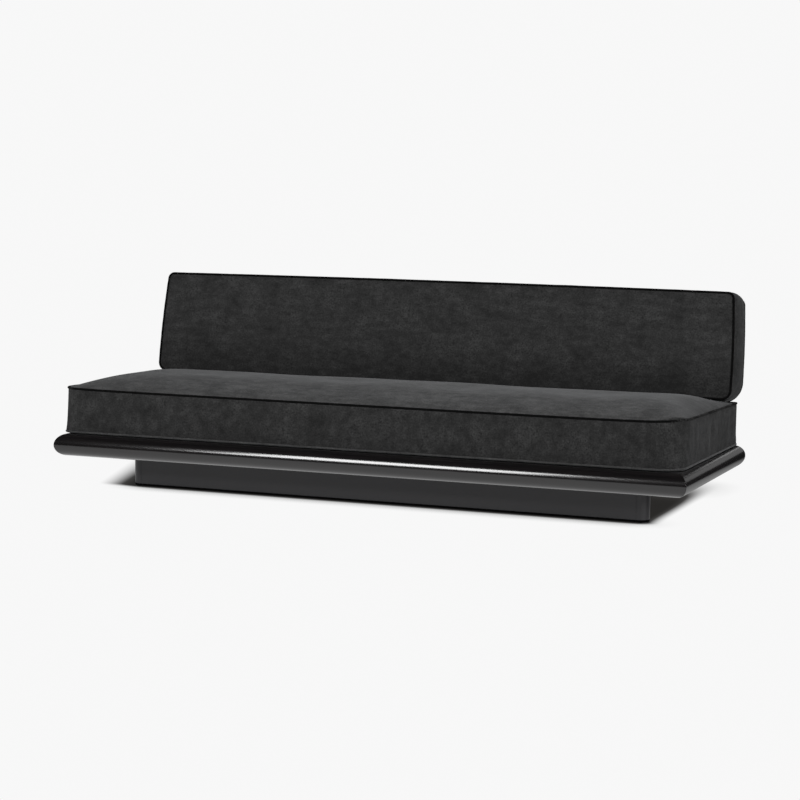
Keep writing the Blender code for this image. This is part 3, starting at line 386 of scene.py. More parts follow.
def makeEbonised(name, look, along):
    material, tree, shader, place = newMaterial(name)
    stretch = grainStretch(along, *look["stretch"])
    grain = noiseNode(tree, place, *look["grain"], stretch)
    pores = noiseNode(tree, place, *look["pores"], stretch)
    colour = rampNode(tree, grain, list(zip(look["stops"], (look["dark"], look["light"]))))
    rough = mathNode(tree, "MULTIPLY_ADD", pores, look["poreShare"], look["roughness"])
    setShader(
        tree, shader, Base_Color=colour, Roughness=rough, Specular_IOR_Level=look["specular"],
        Coat_Weight=look["coat"], Coat_Roughness=look["coatRoughness"])
    return material


ebonisedLong = makeEbonised("ebonised_long", woodLook, "x")
ebonisedEnd = makeEbonised("ebonised_end", woodLook, "y")


# Raw boards: stretched grain along the board, and thin plies across its height where asked

boardLook = dict(
    stops=(0.35, 0.66), stretch=(1.0, 14.0), grain=(6.0, 5.0, 0.65), flecks=(40.0, 3.0, 0.6), grainShare=0.65,
    fleckShare=0.35, plyShare=0.55, plyWobble=0.4, plyColour=(0.16, 0.09, 0.045, 1), steep=0.5,
    bump=(0.15, 0.0005), roughness=0.68, ribRound=0.0005, backRound=0.0008)


def makeBoard(name, look, dark, light, along="x", plies=0.0):
    # the plies show only where a face stands upright
    material, tree, shader, place = newMaterial(name)
    stretch = grainStretch(along, *look["stretch"])
    grain = noiseNode(tree, place, *look["grain"], stretch)
    flecks = noiseNode(tree, place, *look["flecks"], stretch)
    mixed = mathNode(tree, "MULTIPLY", grain, look["grainShare"])
    mixed = mathNode(tree, "MULTIPLY_ADD", flecks, look["fleckShare"], mixed)
    colour = rampNode(tree, mixed, list(zip(look["stops"], (dark, light))))
    if plies:
        bands = addNode(
            tree, "TexWave", {"bands_direction": "Z"}, Vector=place, Scale=plies,
            Distortion=look["plyWobble"])
        normal = addNode(tree, "NewGeometry").outputs["Normal"]
        tilt = mathNode(tree, "ABSOLUTE", axisNode(tree, normal, 2))
        upright = mathNode(tree, "LESS_THAN", tilt, look["steep"])
        edge = mathNode(tree, "MULTIPLY", upright, bands.outputs["Fac"])
        edge = mathNode(tree, "MULTIPLY", edge, look["plyShare"])
        colour = mixColour(tree, edge, colour, look["plyColour"])
    bump = bumpNode(tree, look["bump"], flecks)
    setShader(tree, shader, Base_Color=colour, Roughness=look["roughness"], Normal=bump)
    return material


softwoodTones = ((0.46, 0.31, 0.16), (0.66, 0.50, 0.31))
plywood = makeBoard("birch_plywood", boardLook, (0.40, 0.27, 0.15), (0.62, 0.47, 0.30), "x", 130.0)
softwoodLong = makeBoard("softwood_long", boardLook, *softwoodTones, "x")
softwoodCross = makeBoard("softwood_cross", boardLook, *softwoodTones, "y")


# Plain finishes: one colour that drifts between two tones, with a fine uneven skin where asked


def makePlain(name, dark, light, clouds, roughness, uneven=0.0, skin=None, bump=None, **more):
    # uneven is how far the clouds roughen the surface; without a skin the bump follows the clouds
    material, tree, shader, place = newMaterial(name)
    cloud = noiseNode(tree, place, *clouds)
    colour = rampNode(tree, cloud, [(0.3, dark), (0.7, light)])
    rough = mathNode(tree, "MULTIPLY_ADD", cloud, uneven, roughness) if uneven else roughness
    setShader(tree, shader, Base_Color=colour, Roughness=rough, **more)
    if bump:
        height = noiseNode(tree, place, *skin) if skin else cloud
        setShader(tree, shader, Normal=bumpNode(tree, bump, height))
    return material


metalLook = dict(clouds=(30.0,), uneven=0.12)
feltLook = dict(roughness=0.95, bump=(0.5, 0.0004))
plinthLacquer = makePlain(
    "plinth_lacquer", (0.0140, 0.0134, 0.0156), (0.0205, 0.0197, 0.0226), (5.0,), 0.36, 0.10, (420.0, 2.0),
    (0.06, 0.0003))
# near black: painted shade for the dark line at the plinth's foot
footShadeStrip = makePlain("foot_rubber", grey(0.0016), grey(0.0034), (60.0,), 0.95, Specular_IOR_Level=0.06)
blackSteel = makePlain(
    "black_steel", grey(0.010), grey(0.017), roughness=0.42, skin=(1400.0, 2.0), bump=(0.18, 0.0003),
    **metalLook)
zincPlate = makePlain(
    "zinc_plate", (0.42, 0.43, 0.44), (0.60, 0.61, 0.62), roughness=0.26, skin=(500.0, 2.0),
    bump=(0.06, 0.0003), Metallic=1.0, **metalLook)
zipTooth = makePlain(
    "zip_tooth", grey(0.012), grey(0.022), roughness=0.35, skin=(800.0, 2.0), bump=(0.05, 0.0003),
    **metalLook)
felt = makePlain("glide_felt", grey(0.05), grey(0.11), (900.0, 4.0, 0.7), **feltLook)
zipCloth = makePlain("zip_cloth", grey(0.010), grey(0.020), (1200.0, 4.0, 0.7), **feltLook)
print("materials made")


# Camera, as solved from the platform's edges in the photograph of 800 by 800 pixels

photoCamera = dict(
    place=(2.9420, -7.65596, 1.2573), yaw=21.1664, pitch=6.2863, roll=0.7823, focalPixels=2217.59,
    framePixels=800, sensor=36.0, reach=100)


def addCamera(look):
    yaw, pitch, roll = [math.radians(look[k]) for k in ("yaw", "pitch", "roll")]
    ahead = Vector((-math.sin(yaw) * math.cos(pitch), math.cos(yaw) * math.cos(pitch), -math.sin(pitch)))
    level = Vector((math.cos(yaw), math.sin(yaw), 0))
    over = level.cross(ahead)
    right = level * math.cos(roll) + over * math.sin(roll)
    up = over * math.cos(roll) - level * math.sin(roll)
    data = bpy.data.cameras.new("photo_camera")
    data.sensor_width = look["sensor"]
    data.lens = look["focalPixels"] / look["framePixels"] * look["sensor"]
    data.clip_end = look["reach"]
    camera = putInScene("photo_camera", data)
    turned = Matrix((right, up, -ahead)).transposed().to_4x4()
    camera.matrix_world = Matrix.Translation(look["place"]) @ turned
    bpy.context.scene.camera = camera


addCamera(photoCamera)


# Studio: a pale backdrop and floor. The floor is shown at one level and draws the sofa's shadow itself:
# dark where its surroundings are covered, inside an outline that is crisp in front and soft behind

studio = dict(
    background=0.935, ambient=0.30, mirrored=0.035, floorSize=60.0, floorLines=13, floorColour=0.50,
    litMiddle=-1.0, litRadius=(1.8, 3.4), litFar=0.12, contact=0.125, hollow=0.55,
    shadeSlant=0.31, shadeLeft=(-1.25, -1.06), shadeRight=(0.96, 1.05), shadeFront=(-0.30, -0.23),
    shadeRear=(0.35, 1.00), shadeShare=0.78, softLeft=(-1.40, -0.90), softRight=(0.72, 1.22),
    softFrom=(0.25, 0.90), dimX=(0.95, 1.10), dimY=(-0.35, -0.15), dimShare=0.66)


def rayShare(tree, glossyShare):
    # 1 for camera rays, a share for reflected and transmitted ones, 0 for the rest
    path = addNode(tree, "LightPath").outputs
    seen = mathNode(tree, "MAXIMUM", path["Is Glossy Ray"], path["Is Transmission Ray"])
    return mathNode(tree, "MAXIMUM", path["Is Camera Ray"], mathNode(tree, "MULTIPLY", seen, glossyShare))


def addWorld(look):
    world = bpy.data.worlds.new("studio")
    bpy.context.scene.world = world
    world.use_nodes = True
    tree = world.node_tree
    diffuse = addNode(tree, "LightPath").outputs["Is Diffuse Ray"]
    lit = mathNode(tree, "MULTIPLY", diffuse, look["ambient"])
    share = rayShare(tree, look["mirrored"])
    strength = mathNode(tree, "MULTIPLY_ADD", share, look["background"], lit)
    setShader(tree, tree.nodes["Background"], Color=(1, 1, 1, 1), Strength=strength)


def addFloor(look):
    half, count = look["floorSize"] / 2, look["floorLines"]
    lines = np.linspace(-half, half, count)
    x, y = np.meshgrid(lines, lines)
    mesh = buildMesh("floor", np.stack([x, y, 0 * x], -1).reshape(-1, 3), gridQuads(count, count))
    material, tree, shader, place = newMaterial("pale_floor")
    contact, hollow = [
        addNode(tree, "AmbientOcclusion", {"samples": 16}, Distance=look[key]).outputs["AO"]
        for key in ("contact", "hollow")]
    middle = (0, look["litMiddle"], 0)
    away = addNode(tree, "VectorMath", {"operation": "DISTANCE"}, in0=place, in1=middle).outputs["Value"]
    spotX, spotY = axisNode(tree, place, 0), axisNode(tree, place, 1)

    def ease(value, key, first=0.0, last=1.0):
        return rangeNode(tree, value, look[key], first, last)

    def product(first, second):
        return mathNode(tree, "MULTIPLY", first, second)

    slanted = mathNode(tree, "MULTIPLY_ADD", spotY, look["shadeSlant"], spotX)
    crisp = product(ease(slanted, "shadeLeft"), ease(spotX, "shadeRight", 1.0, 0.0))
    soft = product(ease(spotX, "softLeft"), ease(spotX, "softRight", 1.0, 0.0))
    between = mixValue(tree, ease(spotY, "softFrom"), crisp, soft)
    under = product(between, ease(spotY, "shadeFront"))
    covered = mixValue(tree, under, contact, hollow)
    cast = product(under, ease(spotY, "shadeRear", look["shadeShare"], 0.0))
    shadow = product(covered, mathNode(tree, "SUBTRACT", 1.0, cast))
    pale = grey(look["background"])
    seen = rampNode(
        tree, shadow, [(0.05, grey(0.022, 0.05)), (0.22, grey(0.05, 0.03)), (0.62, grey(0.55)), (0.97, pale)])
    # what reflections see is painted: a pool of light round a spot in front of the sofa, fading further off,
    # darkened where covered and with painted shade at the right
    lit = product(covered, ease(away, "litRadius", 1.0, look["litFar"]))
    mirrored = rampNode(
        tree, lit, [(0.10, grey(0.02)), (0.50, grey(0.02)), (0.78, grey(0.75)), (0.97, grey(1.0))])
    dim = product(ease(spotX, "dimX", 0.0, look["dimShare"]), ease(spotY, "dimY"))
    mirrored = mixColour(tree, dim, mirrored, (*grey(0.02), 1))
    shaded = mixColour(tree, addNode(tree, "LightPath").outputs["Is Camera Ray"], mirrored, seen)
    shown = addNode(tree, "Emission", Color=shaded, Strength=1.0)
    tree.nodes.remove(shader)
    paint = addNode(tree, "BsdfDiffuse", Color=(*grey(look["floorColour"]), 1))
    both = addNode(tree, "MixShader", in0=rayShare(tree, 1.0), in1=paint.outputs[0], in2=shown.outputs[0])
    tree.links.new(both.outputs[0], tree.nodes["Material Output"].inputs["Surface"])
    mesh.materials.append(material)
    putInScene("floor", mesh)


# Lights: a large softbox at the front left, broad ones over and behind the back, a smaller one at the right,
# and two weak ones low behind that only the right rail's lacquer shows

lamps = {
    "key_light": dict(
        place=(-1.50, -4.20, 2.32), aim=(0.2, -0.5, 0.2), size=(1.75, 1.70), power=172.0, mirrored=True),
    "top_light": dict(
        place=(0.3, 1.3, 3.2), aim=(0.1, -0.1, 0.3), size=(4.0, 1.6), power=135.0, mirrored=False),
    "side_light": dict(
        place=(4.1, -1.9, 1.6), aim=(0.9, 0.0, 0.35), size=(1.2, 1.2), power=80.0, mirrored=True),
    "rear_light": dict(
        place=(-1.2, 4.6, 2.2), aim=(0.0, 0.4, 0.4), size=(2.5, 1.5), power=110.0, mirrored=False),
    "edge_light": dict(
        place=(1.45, 3.9, 1.16), aim=(1.2, 0.0, 0.17), size=(0.35, 0.14), power=0.11, mirrored=True),
    "card_light": dict(
        place=(1.85, 3.9, 0.85), aim=(1.2, 0.0, 0.17), size=(1.2, 0.75), power=0.80, mirrored=True),
}


def addSoftbox(name, look):
    data = bpy.data.lights.new(name, "AREA")
    data.shape = "RECTANGLE"
    data.size, data.size_y = look["size"]
    data.energy = look["power"]
    lamp = putInScene(name, data)
    towards = Vector(look["aim"]) - Vector(look["place"])
    turned = towards.to_track_quat("-Z", "Y").to_matrix().to_4x4()
    lamp.matrix_world = Matrix.Translation(look["place"]) @ turned
    lamp.visible_glossy = look["mirrored"]
    lamp.visible_camera = False


addWorld(studio)
addFloor(studio)
for name, look in lamps.items():
    addSoftbox(name, look)
print("camera and studio ready")


# Platform rails: a bullnose section carried along each side and mitred at the corners

railLook = dict(
    width=0.120, ledge=0.020, deckThickness=0.024, gap=0.0003, noseSteps=56, stations=23, edgeRound=0.0009,
    edgeAngle=38.0, sharpAngle=30.0, notchWidth=0.0606, notchFloor=0.2057, notchWall=1e-9)


def railSection(look, thickness):
    # half circle outside, then the flat top, the rebate for the deck and the inner face
    radius = thickness / 2
    angle = np.linspace(1.5 * math.pi, 0.5 * math.pi, look["noseSteps"] + 1)
    nose = np.column_stack([radius + radius * np.cos(angle), radius * np.sin(angle)])
    ledge = radius - look["deckThickness"] - look["gap"]
    inner, rebate = look["width"], look["width"] - look["ledge"]
    rest = [(rebate, radius), (rebate, ledge), (inner, ledge), (inner, -radius)]
    return np.vstack([nose, rest])


def addRail(node, side, material, look, notches=()):
    # side is the outward direction; each section point is carried to where the mitre cuts it,
    # and inside a notch nothing stands higher than the notch's floor
    low, high = [np.array(corner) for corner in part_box(node)]
    section = railSection(look, high[2] - low[2])
    middle = (low + high) / 2
    outward = np.array(side, float)
    along = np.array([abs(outward[1]), abs(outward[0]), 0])
    half = ((high - low) @ along) / 2
    reach = half - section[:, 0]
    outer = np.where(outward > 0, high, low)
    inside = half - look["width"]
    stations = [(t, False) for t in np.linspace(-inside, inside, look["stations"])]
    wall = look["notchWall"]
    for first, last in notches:
        stations = [s for s in stations if not first <= s[0] <= last]
        stations += [(first, False), (first + wall, True), (last - wall, True), (last, False)]
    stations.sort()
    runs = np.array([-reach] + [np.full(len(section), t) for t, cut in stations] + [reach])
    cut = np.array([False] + [c for t, c in stations] + [False])
    height = np.broadcast_to(middle[2] + section[:, 1], runs.shape)
    height = np.where(cut[:, None], np.minimum(height, look["notchFloor"]), height)
    points = outer * np.abs(outward) + middle * along - section[None, :, :1] * outward
    points = points + runs[..., None] * along
    points[..., 2] = height
    mesh = tubeMesh(node, points, welded=True)
    piece = addPiece("lacquered_" + node, mesh, material, "base", [node], look["sharpAngle"])
    softenEdges(piece, look["edgeRound"], look["edgeAngle"])


barPlaces = {word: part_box("back_upright_" + word) for word in threeWords}
feet = [(low.x + high.x) / 2 for low, high in barPlaces.values()]
rearNotches = [(x - railLook["notchWidth"] / 2, x + railLook["notchWidth"] / 2) for x in sorted(feet)]
addRail("front_rail", (0, -1, 0), ebonisedLong, railLook)
addRail("rear_rail", (0, 1, 0), ebonisedLong, railLook, rearNotches)
addRail("left_rail", (-1, 0, 0), ebonisedEnd, railLook)
addRail("right_rail", (1, 0, 0), ebonisedEnd, railLook)
print("rails carried along the platform")


# Plinth: posts with a round outer corner and flat panels, on a set-back foot strip coloured near black as
# painted shade for the dark line at the plinth's foot

plinthLook = dict(
    cornerRadius=0.034, cornerSteps=24, edgeRound=0.0003, footHeight=0.0085, footInset=0.0010,
    panelCorner=0.0001, panelReach=0.0012)


def blockOutline(half, radius, steps):
    # rectangle of half sizes, with an arc at the corner of +x and +y
    angle = np.linspace(0, math.pi / 2, steps + 1)
    arc = np.column_stack([np.cos(angle), np.sin(angle)]) * radius + (half - radius)
    return np.vstack([arc, [(-half[0], half[1]), (-half[0], -half[1]), (half[0], -half[1])]])


def addPlinthBlock(node, xSign, ySign, look, radius, reach=0.0):
    # the outline carried straight up in rows of (height, inset): strip, step, wall, softened top;
    # reach lengthens a panel a hair, so that no daylight shows where it meets the posts
    low, high = [np.array(corner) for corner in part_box(node)]
    middle, half = (low + high) / 2, (high - low)[:2] / 2 + [reach, 0]
    soft, foot = look["edgeRound"], low[2] + look["footHeight"]
    rows = [
        (low[2], look["footInset"]), (foot, look["footInset"]), (foot, soft), (foot + soft, 0.0),
        (high[2] - soft, 0.0), (high[2], soft)]
    rings = []
    for z, inset in rows:
        outline = blockOutline(half - inset, radius, look["cornerSteps"])
        rings.append(np.column_stack([outline, np.full(len(outline), z)]))
    mesh = tubeMesh(node, np.array(rings) * [xSign, ySign, 1] + [middle[0], middle[1], 0])
    addPiece("lacquered_" + node, mesh, plinthLacquer, "base", [node])
    # the lowest faces are the foot strip, in the near-black of the painted shade
    mesh.materials.append(footShadeStrip)
    kinds = np.zeros(len(mesh.polygons), np.int32)
    kinds[: 2 * len(rings[0])] = 1
    mesh.polygons.foreach_set("material_index", kinds)


for xWord, xSign in sideSigns.items():
    for yWord, ySign in depthSigns.items():
        addPlinthBlock(f"plinth_post_{yWord}_{xWord}", xSign, ySign, plinthLook, plinthLook["cornerRadius"])
for word in depthSigns:
    corner, reach = plinthLook["panelCorner"], plinthLook["panelReach"]
    addPlinthBlock(f"plinth_{word}_panel", 1, 1, plinthLook, corner, reach)


def dressNode(node, material, edgeRound=0.0):
    # a solid that stays as it is: its own finish, and softened edges where asked
    solid = nodes[node]
    solid.data.materials.clear()
    solid.data.materials.append(material)
    if edgeRound:
        addModifier(solid, "WELD", merge_threshold=0.00001)
        softenEdges(solid, edgeRound, roundSharp)


for word in sideSigns:
    dressNode(f"plinth_{word}_panel", plinthLacquer, plinthLook["edgeRound"])
    dressNode(f"plinth_rib_{word}", plywood, boardLook["ribRound"])
for word in depthSigns:
    dressNode(f"plinth_cleat_{word}", softwoodLong)
for number in (1, 2, 3, 4):
    dressNode(f"cross_bearer_{number}", softwoodCross)
dressNode("deck_panel", plywood)
dressNode("back_board", plywood, boardLook["backRound"])
for word in threeWords:
    dressNode(f"back_socket_{word}", blackSteel)
print("plinth and boards finished")


# Turned pieces: rows of (radius, distance) swung round an upright axis. The head's rows are measured from
# the head's end and the tip's from the other end; lobes is (count, depth, first row, last row): these rows
# get a wavy radius, for a driver's recess

glideRadius = (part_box("glide_front_left")[1].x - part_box("glide_front_left")[0].x) / 2
glideRim = (
    (0.0016, 0.0), (0.0007, 0.0003), (0.0001, 0.0010), (0.0, 0.0018), (0.0003, 0.0024), (0.0010, 0.0027))
glideLook = dict(
    head=[(glideRadius - inset, up) for inset, up in glideRim] + [(0.0016, 0.0027)],
    tip=[(0.0016, 0.0015), (0.0003, 0.0)], headUp=False, lobes=None)
screwLook = dict(
    head=[
        (0.0002, 0.0018), (0.0017, 0.0018), (0.0019, 0.0002), (0.0021, 0.0), (0.0057, 0.0), (0.0060, 0.0003),
        (0.0060, 0.0009), (0.0030, 0.0035)],
    tip=[(0.0030, 0.004), (0.0003, 0.0)], headUp=True, lobes=(6, 0.16, 1, 4))
boltLook = dict(
    head=[
        (0.0002, 0.0045), (0.0028, 0.0045), (0.0029, 0.0002), (0.0031, 0.0), (0.0059, 0.0), (0.0065, 0.0006),
        (0.0065, 0.008), (0.0040, 0.008)],
    tip=[(0.0040, 0.001), (0.0030, 0.0)], headUp=False, lobes=(6, 0.07, 1, 4))


def addTurned(prefix, node, look, material, sides=40):
    low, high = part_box(node)
    middle = (low + high) / 2
    headZ, tipZ, way = (high.z, low.z, -1) if look["headUp"] else (low.z, high.z, 1)
    rows = [(r, headZ + way * z) for r, z in look["head"]] + [(r, tipZ - way * z) for r, z in look["tip"]]
    rows = np.array(rows)
    angle = np.linspace(0, 2 * math.pi, sides, endpoint=False)
    radius = np.repeat(rows[:, :1], sides, 1)
    if look["lobes"]:
        count, depth, first, last = look["lobes"]
        radius[first:last] *= 1 + depth * np.cos(count * angle)
    height = np.repeat(rows[:, 1:], sides, 1)
    points = np.stack([middle.x + radius * np.cos(angle), middle.y + radius * np.sin(angle), height], -1)
    addPiece(prefix + node, tubeMesh(prefix + node, points), material, "base", [node], roundSharp)


corners = [f"{yWord}_{xWord}" for yWord in depthSigns for xWord in sideSigns]
for corner in corners:
    addTurned("felt_", "glide_" + corner, glideLook, felt)
for word in threeWords:
    for place in depthSigns:
        addTurned("driven_", f"upright_screw_{word}_{place}", screwLook, zincPlate)
for corner in corners:
    addTurned("socket_", "plinth_bolt_" + corner, boltLook, zincPlate)
print("glides, screws and bolts turned")


# Uprights: a flat bar with soft edges carried along a line with two bends

barLook = dict(
    thickness=0.008, footBend=0.012, crankBend=0.050, bendSteps=18, lean=10.0, crankZ=0.35394, slitZ=0.3700,
    edgeRound=0.0012)


def bentLine(points, bends, steps):
    # straight runs joined by arcs that touch both
    points = [np.array(p, float) for p in points]
    line = [points[0]]
    for before, here, after, radius in zip(points, points[1:], points[2:], bends):
        first = (here - before) / np.linalg.norm(here - before)
        second = (after - here) / np.linalg.norm(after - here)
        turn = math.atan2(first[0] * second[1] - first[1] * second[0], first @ second)
        start = here - first * radius * math.tan(abs(turn) / 2)
        inward = np.array([-first[1], first[0]]) * math.copysign(1, turn)
        angle = np.linspace(0, turn, steps + 1)[:, None]
        arm = -inward * radius
        side = np.array([-arm[1], arm[0]])
        line += list(start + inward * radius + arm * np.cos(angle) + side * np.sin(angle))
    return np.array(line + [points[-1]])


def roundedBox(width, height, radius, steps=4):
    # outline of a rectangle with round corners, once round
    angle = np.linspace(0, math.pi / 2, steps + 1)
    a, b = width / 2 - radius, height / 2 - radius
    corner = np.column_stack([np.cos(angle), np.sin(angle)]) * radius
    quarter = np.column_stack([-np.sin(angle), np.cos(angle)]) * radius
    return np.vstack([corner + (a, b), quarter + (-a, b), -corner + (-a, -b), -quarter + (a, -b)])


def barTip(high):
    # middle of the bar's upper end, as (y, z)
    lean = math.radians(barLook["lean"])
    halfBar = barLook["thickness"] / 2
    return high.y - halfBar * math.cos(lean), high.z - halfBar * math.sin(lean)


def barY(high, z):
    # where the middle of the bar's leaning run stands at a height
    tipY, tipZ = barTip(high)
    return tipY - (tipZ - z) * math.tan(math.radians(barLook["lean"]))


def addUpright(node, look):
    low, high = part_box(node)
    footZ = low.z + look["thickness"] / 2
    crankY = barY(high, look["crankZ"])
    line = bentLine(
        [(low.y, footZ), (crankY, footZ), (crankY, look["crankZ"]), barTip(high)],
        (look["footBend"], look["crankBend"]), look["bendSteps"])
    ahead = unit(np.gradient(line, axis=0))
    across = np.column_stack([-ahead[:, 1], ahead[:, 0]])
    section = roundedBox(high.x - low.x, look["thickness"], look["edgeRound"])
    yz = line[:, None, :] + section[None, :, 1:] * across[:, None, :]
    x = np.broadcast_to((low.x + high.x) / 2 + section[None, :, :1], (*yz.shape[:2], 1))
    mesh = tubeMesh(node, np.concatenate([x, yz], -1))
    addPiece("bent_" + node, mesh, blackSteel, "base", [node], roundSharp)


for word in threeWords:
    addUpright("back_upright_" + word, barLook)
print("uprights bent")


# Cushions: a closed boxed form on one grid, with rounded corners, seams rolled in under the piping
# and faces that crown; the cloth is then blown up a little by simulation, held at its seams.
# Each wave of the sewn cloth is (how much it slants away from the seam, size, seed).

sewnLook = dict(
    gathers=(0.4, 0.045, 21), gatherFall=0.022, gatherRise=0.004, folds=(0.1, 0.11, 22), foldShare=0.5,
    foldRise=0.02, endFolds=(0.15, 0.065, 24), endPower=40, drawPower=8, bellyFoot=0.4,
    faceGathers=(0.05, 23), faceFall=0.025, faceRise=0.005,
    faceEdge=(0.0, 0.004, 0.009, 0.016, 0.026, 0.040), wallEdge=(0.0, 0.004, 0.009, 0.016, 0.026),
    wallUv=2.0, lowerUv=5.0)


def gradedLines(half, step, edge):
    # grid lines from -half to half: close together at the edges, even in between
    edge = np.array(edge)
    count = max(2, round((2 * half - 2 * edge[-1]) / step))
    middle = np.linspace(-half + edge[-1], half - edge[-1], count + 1)
    return np.concatenate([-half + edge[:-1], middle, half - edge[:-1][::-1]])


def roundCorner(x, y, a, b, radius):
    # the square at each corner of the rectangle is bent onto a quarter disc
    ux = np.clip((np.abs(x) - (a - radius)) / radius, 0, 1)
    uy = np.clip((np.abs(y) - (b - radius)) / radius, 0, 1)
    newX = np.minimum(np.abs(x), a - radius) + radius * ux * np.sqrt(1 - uy ** 2 / 2)
    newY = np.minimum(np.abs(y), b - radius) + radius * uy * np.sqrt(1 - ux ** 2 / 2)
    return np.sign(x) * newX, np.sign(y) * newY


def rise(distance, fall):
    # 0 at an edge, and nearer to 1 the further from it
    return 1 - np.exp(-np.maximum(distance, 0) / fall)


def seamWave(along, toSeam, wave):
    slant, size, seed = wave
    return ripple(along, slant * toSeam, size, seed)


class BoxedCushion:
    # a form in its own frame: x along, y across the face, z from the lower face to the upper one

    def __init__(self, look, place, seams, faces):
        self.look, self.place, self.seams, self.faces = look, place, seams, faces
        self.a, self.b = look["halfLength"], look["halfWidth"]

    def outline(self, x, y, share):
        # place in plan of a point of the rectangle, at a share of the boxing's height: corners rounded,
        # sides drawn in, and the whole tapered and set askew
        look, a, b = self.look, self.a, self.b
        radius = [low + (high - low) * share for low, high in zip(look["lowerCorners"], look["upperCorners"])]
        radius = np.where(y < 0, radius[0], radius[1]) * np.where(x < 0, look["leftShare"], 1.0)
        x, y = roundCorner(x, y, a, b, radius)
        across = np.clip(1 - (x / a) ** 2, 0, 1)
        along = np.clip(1 - (y / b) ** 2, 0, 1)
        front, rear, ends = look["drawIn"]
        y = y + np.where(y < 0, front, -rear) * across * np.abs(y) / b
        x = x - np.sign(x) * ends * along * (np.abs(x) / a) ** sewnLook["drawPower"]
        x = x * (1 - look["taper"] / (2 * a) * (y / b) / 2) + look["skew"] * y / b
        return x, y

    def wall(self, x, y, share):
        # a point on the boxing: drawn in under the piping close to a seam, with gathers beside it, folds
        # further off and on the ends, and a belly that fades out towards the foot
        look, sewn = self.look, sewnLook
        px, py = self.outline(x, y, share)
        low, high = self.seams(px, py)
        height = high - low
        toSeam = np.minimum(share, 1 - share) * height
        free = rise(toSeam, sewn["foldRise"])
        pulled = look["seamTuck"] * np.exp(-toSeam / look["seamRoll"])
        gathers = np.exp(-toSeam / sewn["gatherFall"]) * rise(toSeam, sewn["gatherRise"])
        gathers = gathers * seamWave(px + py, toSeam, sewn["gathers"])
        folds = sewn["foldShare"] * seamWave(px + py, toSeam, sewn["folds"])
        pulled = pulled - look["pucker"] * (gathers + folds * free)
        onEnd = np.clip(np.abs(px) / self.a, 0, 1) ** sewn["endPower"] * free
        pulled = pulled - look["endFold"] * onEnd * seamWave(py, toSeam, sewn["endFolds"])
        offFoot = np.clip((py / self.b + 1) / sewn["bellyFoot"], 0, 1)
        pulled = pulled - look["belly"] * offFoot * np.sqrt(np.clip(np.sin(np.pi * share), 0, 1))
        return np.stack([px * (1 - pulled / self.a), py * (1 - pulled / self.b), low + height * share], -1)

    def face(self, x, y, upper):
        # a point on the upper or lower face: crowned, rolled in at the seam and gathered beside it
        look, sewn = self.look, sewnLook
        px, py = self.outline(x, y, 1.0 if upper else 0.0)
        edge = np.minimum(self.a - np.abs(x), self.b - np.abs(y))
        z = self.faces[1 if upper else 0](px, py, edge)
        tuck = look["seamTuck"] * np.exp(-edge / look["seamRoll"])
        px, py = px * (1 - tuck / self.a), py * (1 - tuck / self.b)
        gathers = np.exp(-edge / sewn["faceFall"]) * rise(edge, sewn["faceRise"])
        gathers = gathers * ripple(px, py, *sewn["faceGathers"])
        lift = look["pucker"] * gathers * (1 if upper or look["bothPucker"] else 0) - tuck
        return np.stack([px, py, z + lift if upper else z - lift], -1)

    def build(self):
        # points, quads and uv of the upper face, the lower face and the boxing between their rims
        look, sewn, height = self.look, sewnLook, self.look["boxingHeight"]
        xs, ys = [gradedLines(half, look["step"], sewn["faceEdge"]) for half in (self.a, self.b)]
        nx, ny = len(xs), len(ys)
        gx, gy = np.meshgrid(xs, ys, indexing="ij")
        flat = np.column_stack([gx.ravel(), gy.ravel()])
        index = np.arange(nx * ny).reshape(nx, ny)
        rim = np.concatenate([index[:-1, 0], index[-1, :-1], index[:0:-1, -1], index[0, :0:-1]])
        lines = gradedLines(height / 2, look["step"], sewn["wallEdge"]) / height + 0.5
        inner = lines[1:-1, None]
        wall = self.wall(flat[None, rim, 0], flat[None, rim, 1], inner)
        faces = [self.face(gx, gy, upper).reshape(-1, 3) for upper in (True, False)]
        points = np.concatenate(faces + [wall.reshape(-1, 3)])
        count = len(rim)
        between = 2 * nx * ny + np.arange(len(inner) * count).reshape(-1, count)
        ring = np.vstack([rim + nx * ny, between, rim])
        after = np.roll(ring, -1, 1)
        topQuads = gridQuads(nx, ny)[:, [0, 3, 2, 1]]
        lowQuads = gridQuads(nx, ny)
        sideQuads = np.stack([ring[:-1], after[:-1], after[1:], ring[1:]], -1).reshape(-1, 4)
        sideUv = gridUv(runLength(flat[rim])[None, :], lines[:, None] * height + sewn["wallUv"])
        uv = np.concatenate([flat[topQuads], flat[lowQuads] + sewn["lowerUv"], sideUv])
        self.counts = len(topQuads), len(lowQuads), len(sideQuads)
        self.seamIndex = np.concatenate([rim, rim + nx * ny])
        shares = np.broadcast_to(inner, (len(inner), count)).ravel()
        self.pointShare = np.concatenate([np.ones(nx * ny), np.zeros(nx * ny), shares])
        return points, np.concatenate([topQuads, lowQuads + nx * ny, sideQuads]), uv

    def seamLoop(self, share, step=0.006):
        # points along a seam, once round
        a, b = self.a, self.b
        nx, ny = round(2 * a / step), round(2 * b / step)
        x, y = np.linspace(-a, a, nx + 1), np.linspace(-b, b, ny + 1)
        loop = np.concatenate([
            np.column_stack([x[:-1], np.full(nx, -b)]), np.column_stack([np.full(ny, a), y[:-1]]),
            np.column_stack([x[:0:-1], np.full(nx, b)]), np.column_stack([np.full(ny, -a), y[:0:-1]])])
        px, py = self.outline(loop[:, 0], loop[:, 1], share)
        low, high = self.seams(px, py)
        return np.column_stack([px, py, low + (high - low) * share])

    def toFrame(self, points):
        # from the cushion's own frame to the sofa's
        return points @ self.place[1].T + self.place[0]


clothLook = dict(quality=5, mass=0.3, bending=0.5, shearShare=3, steps=20)


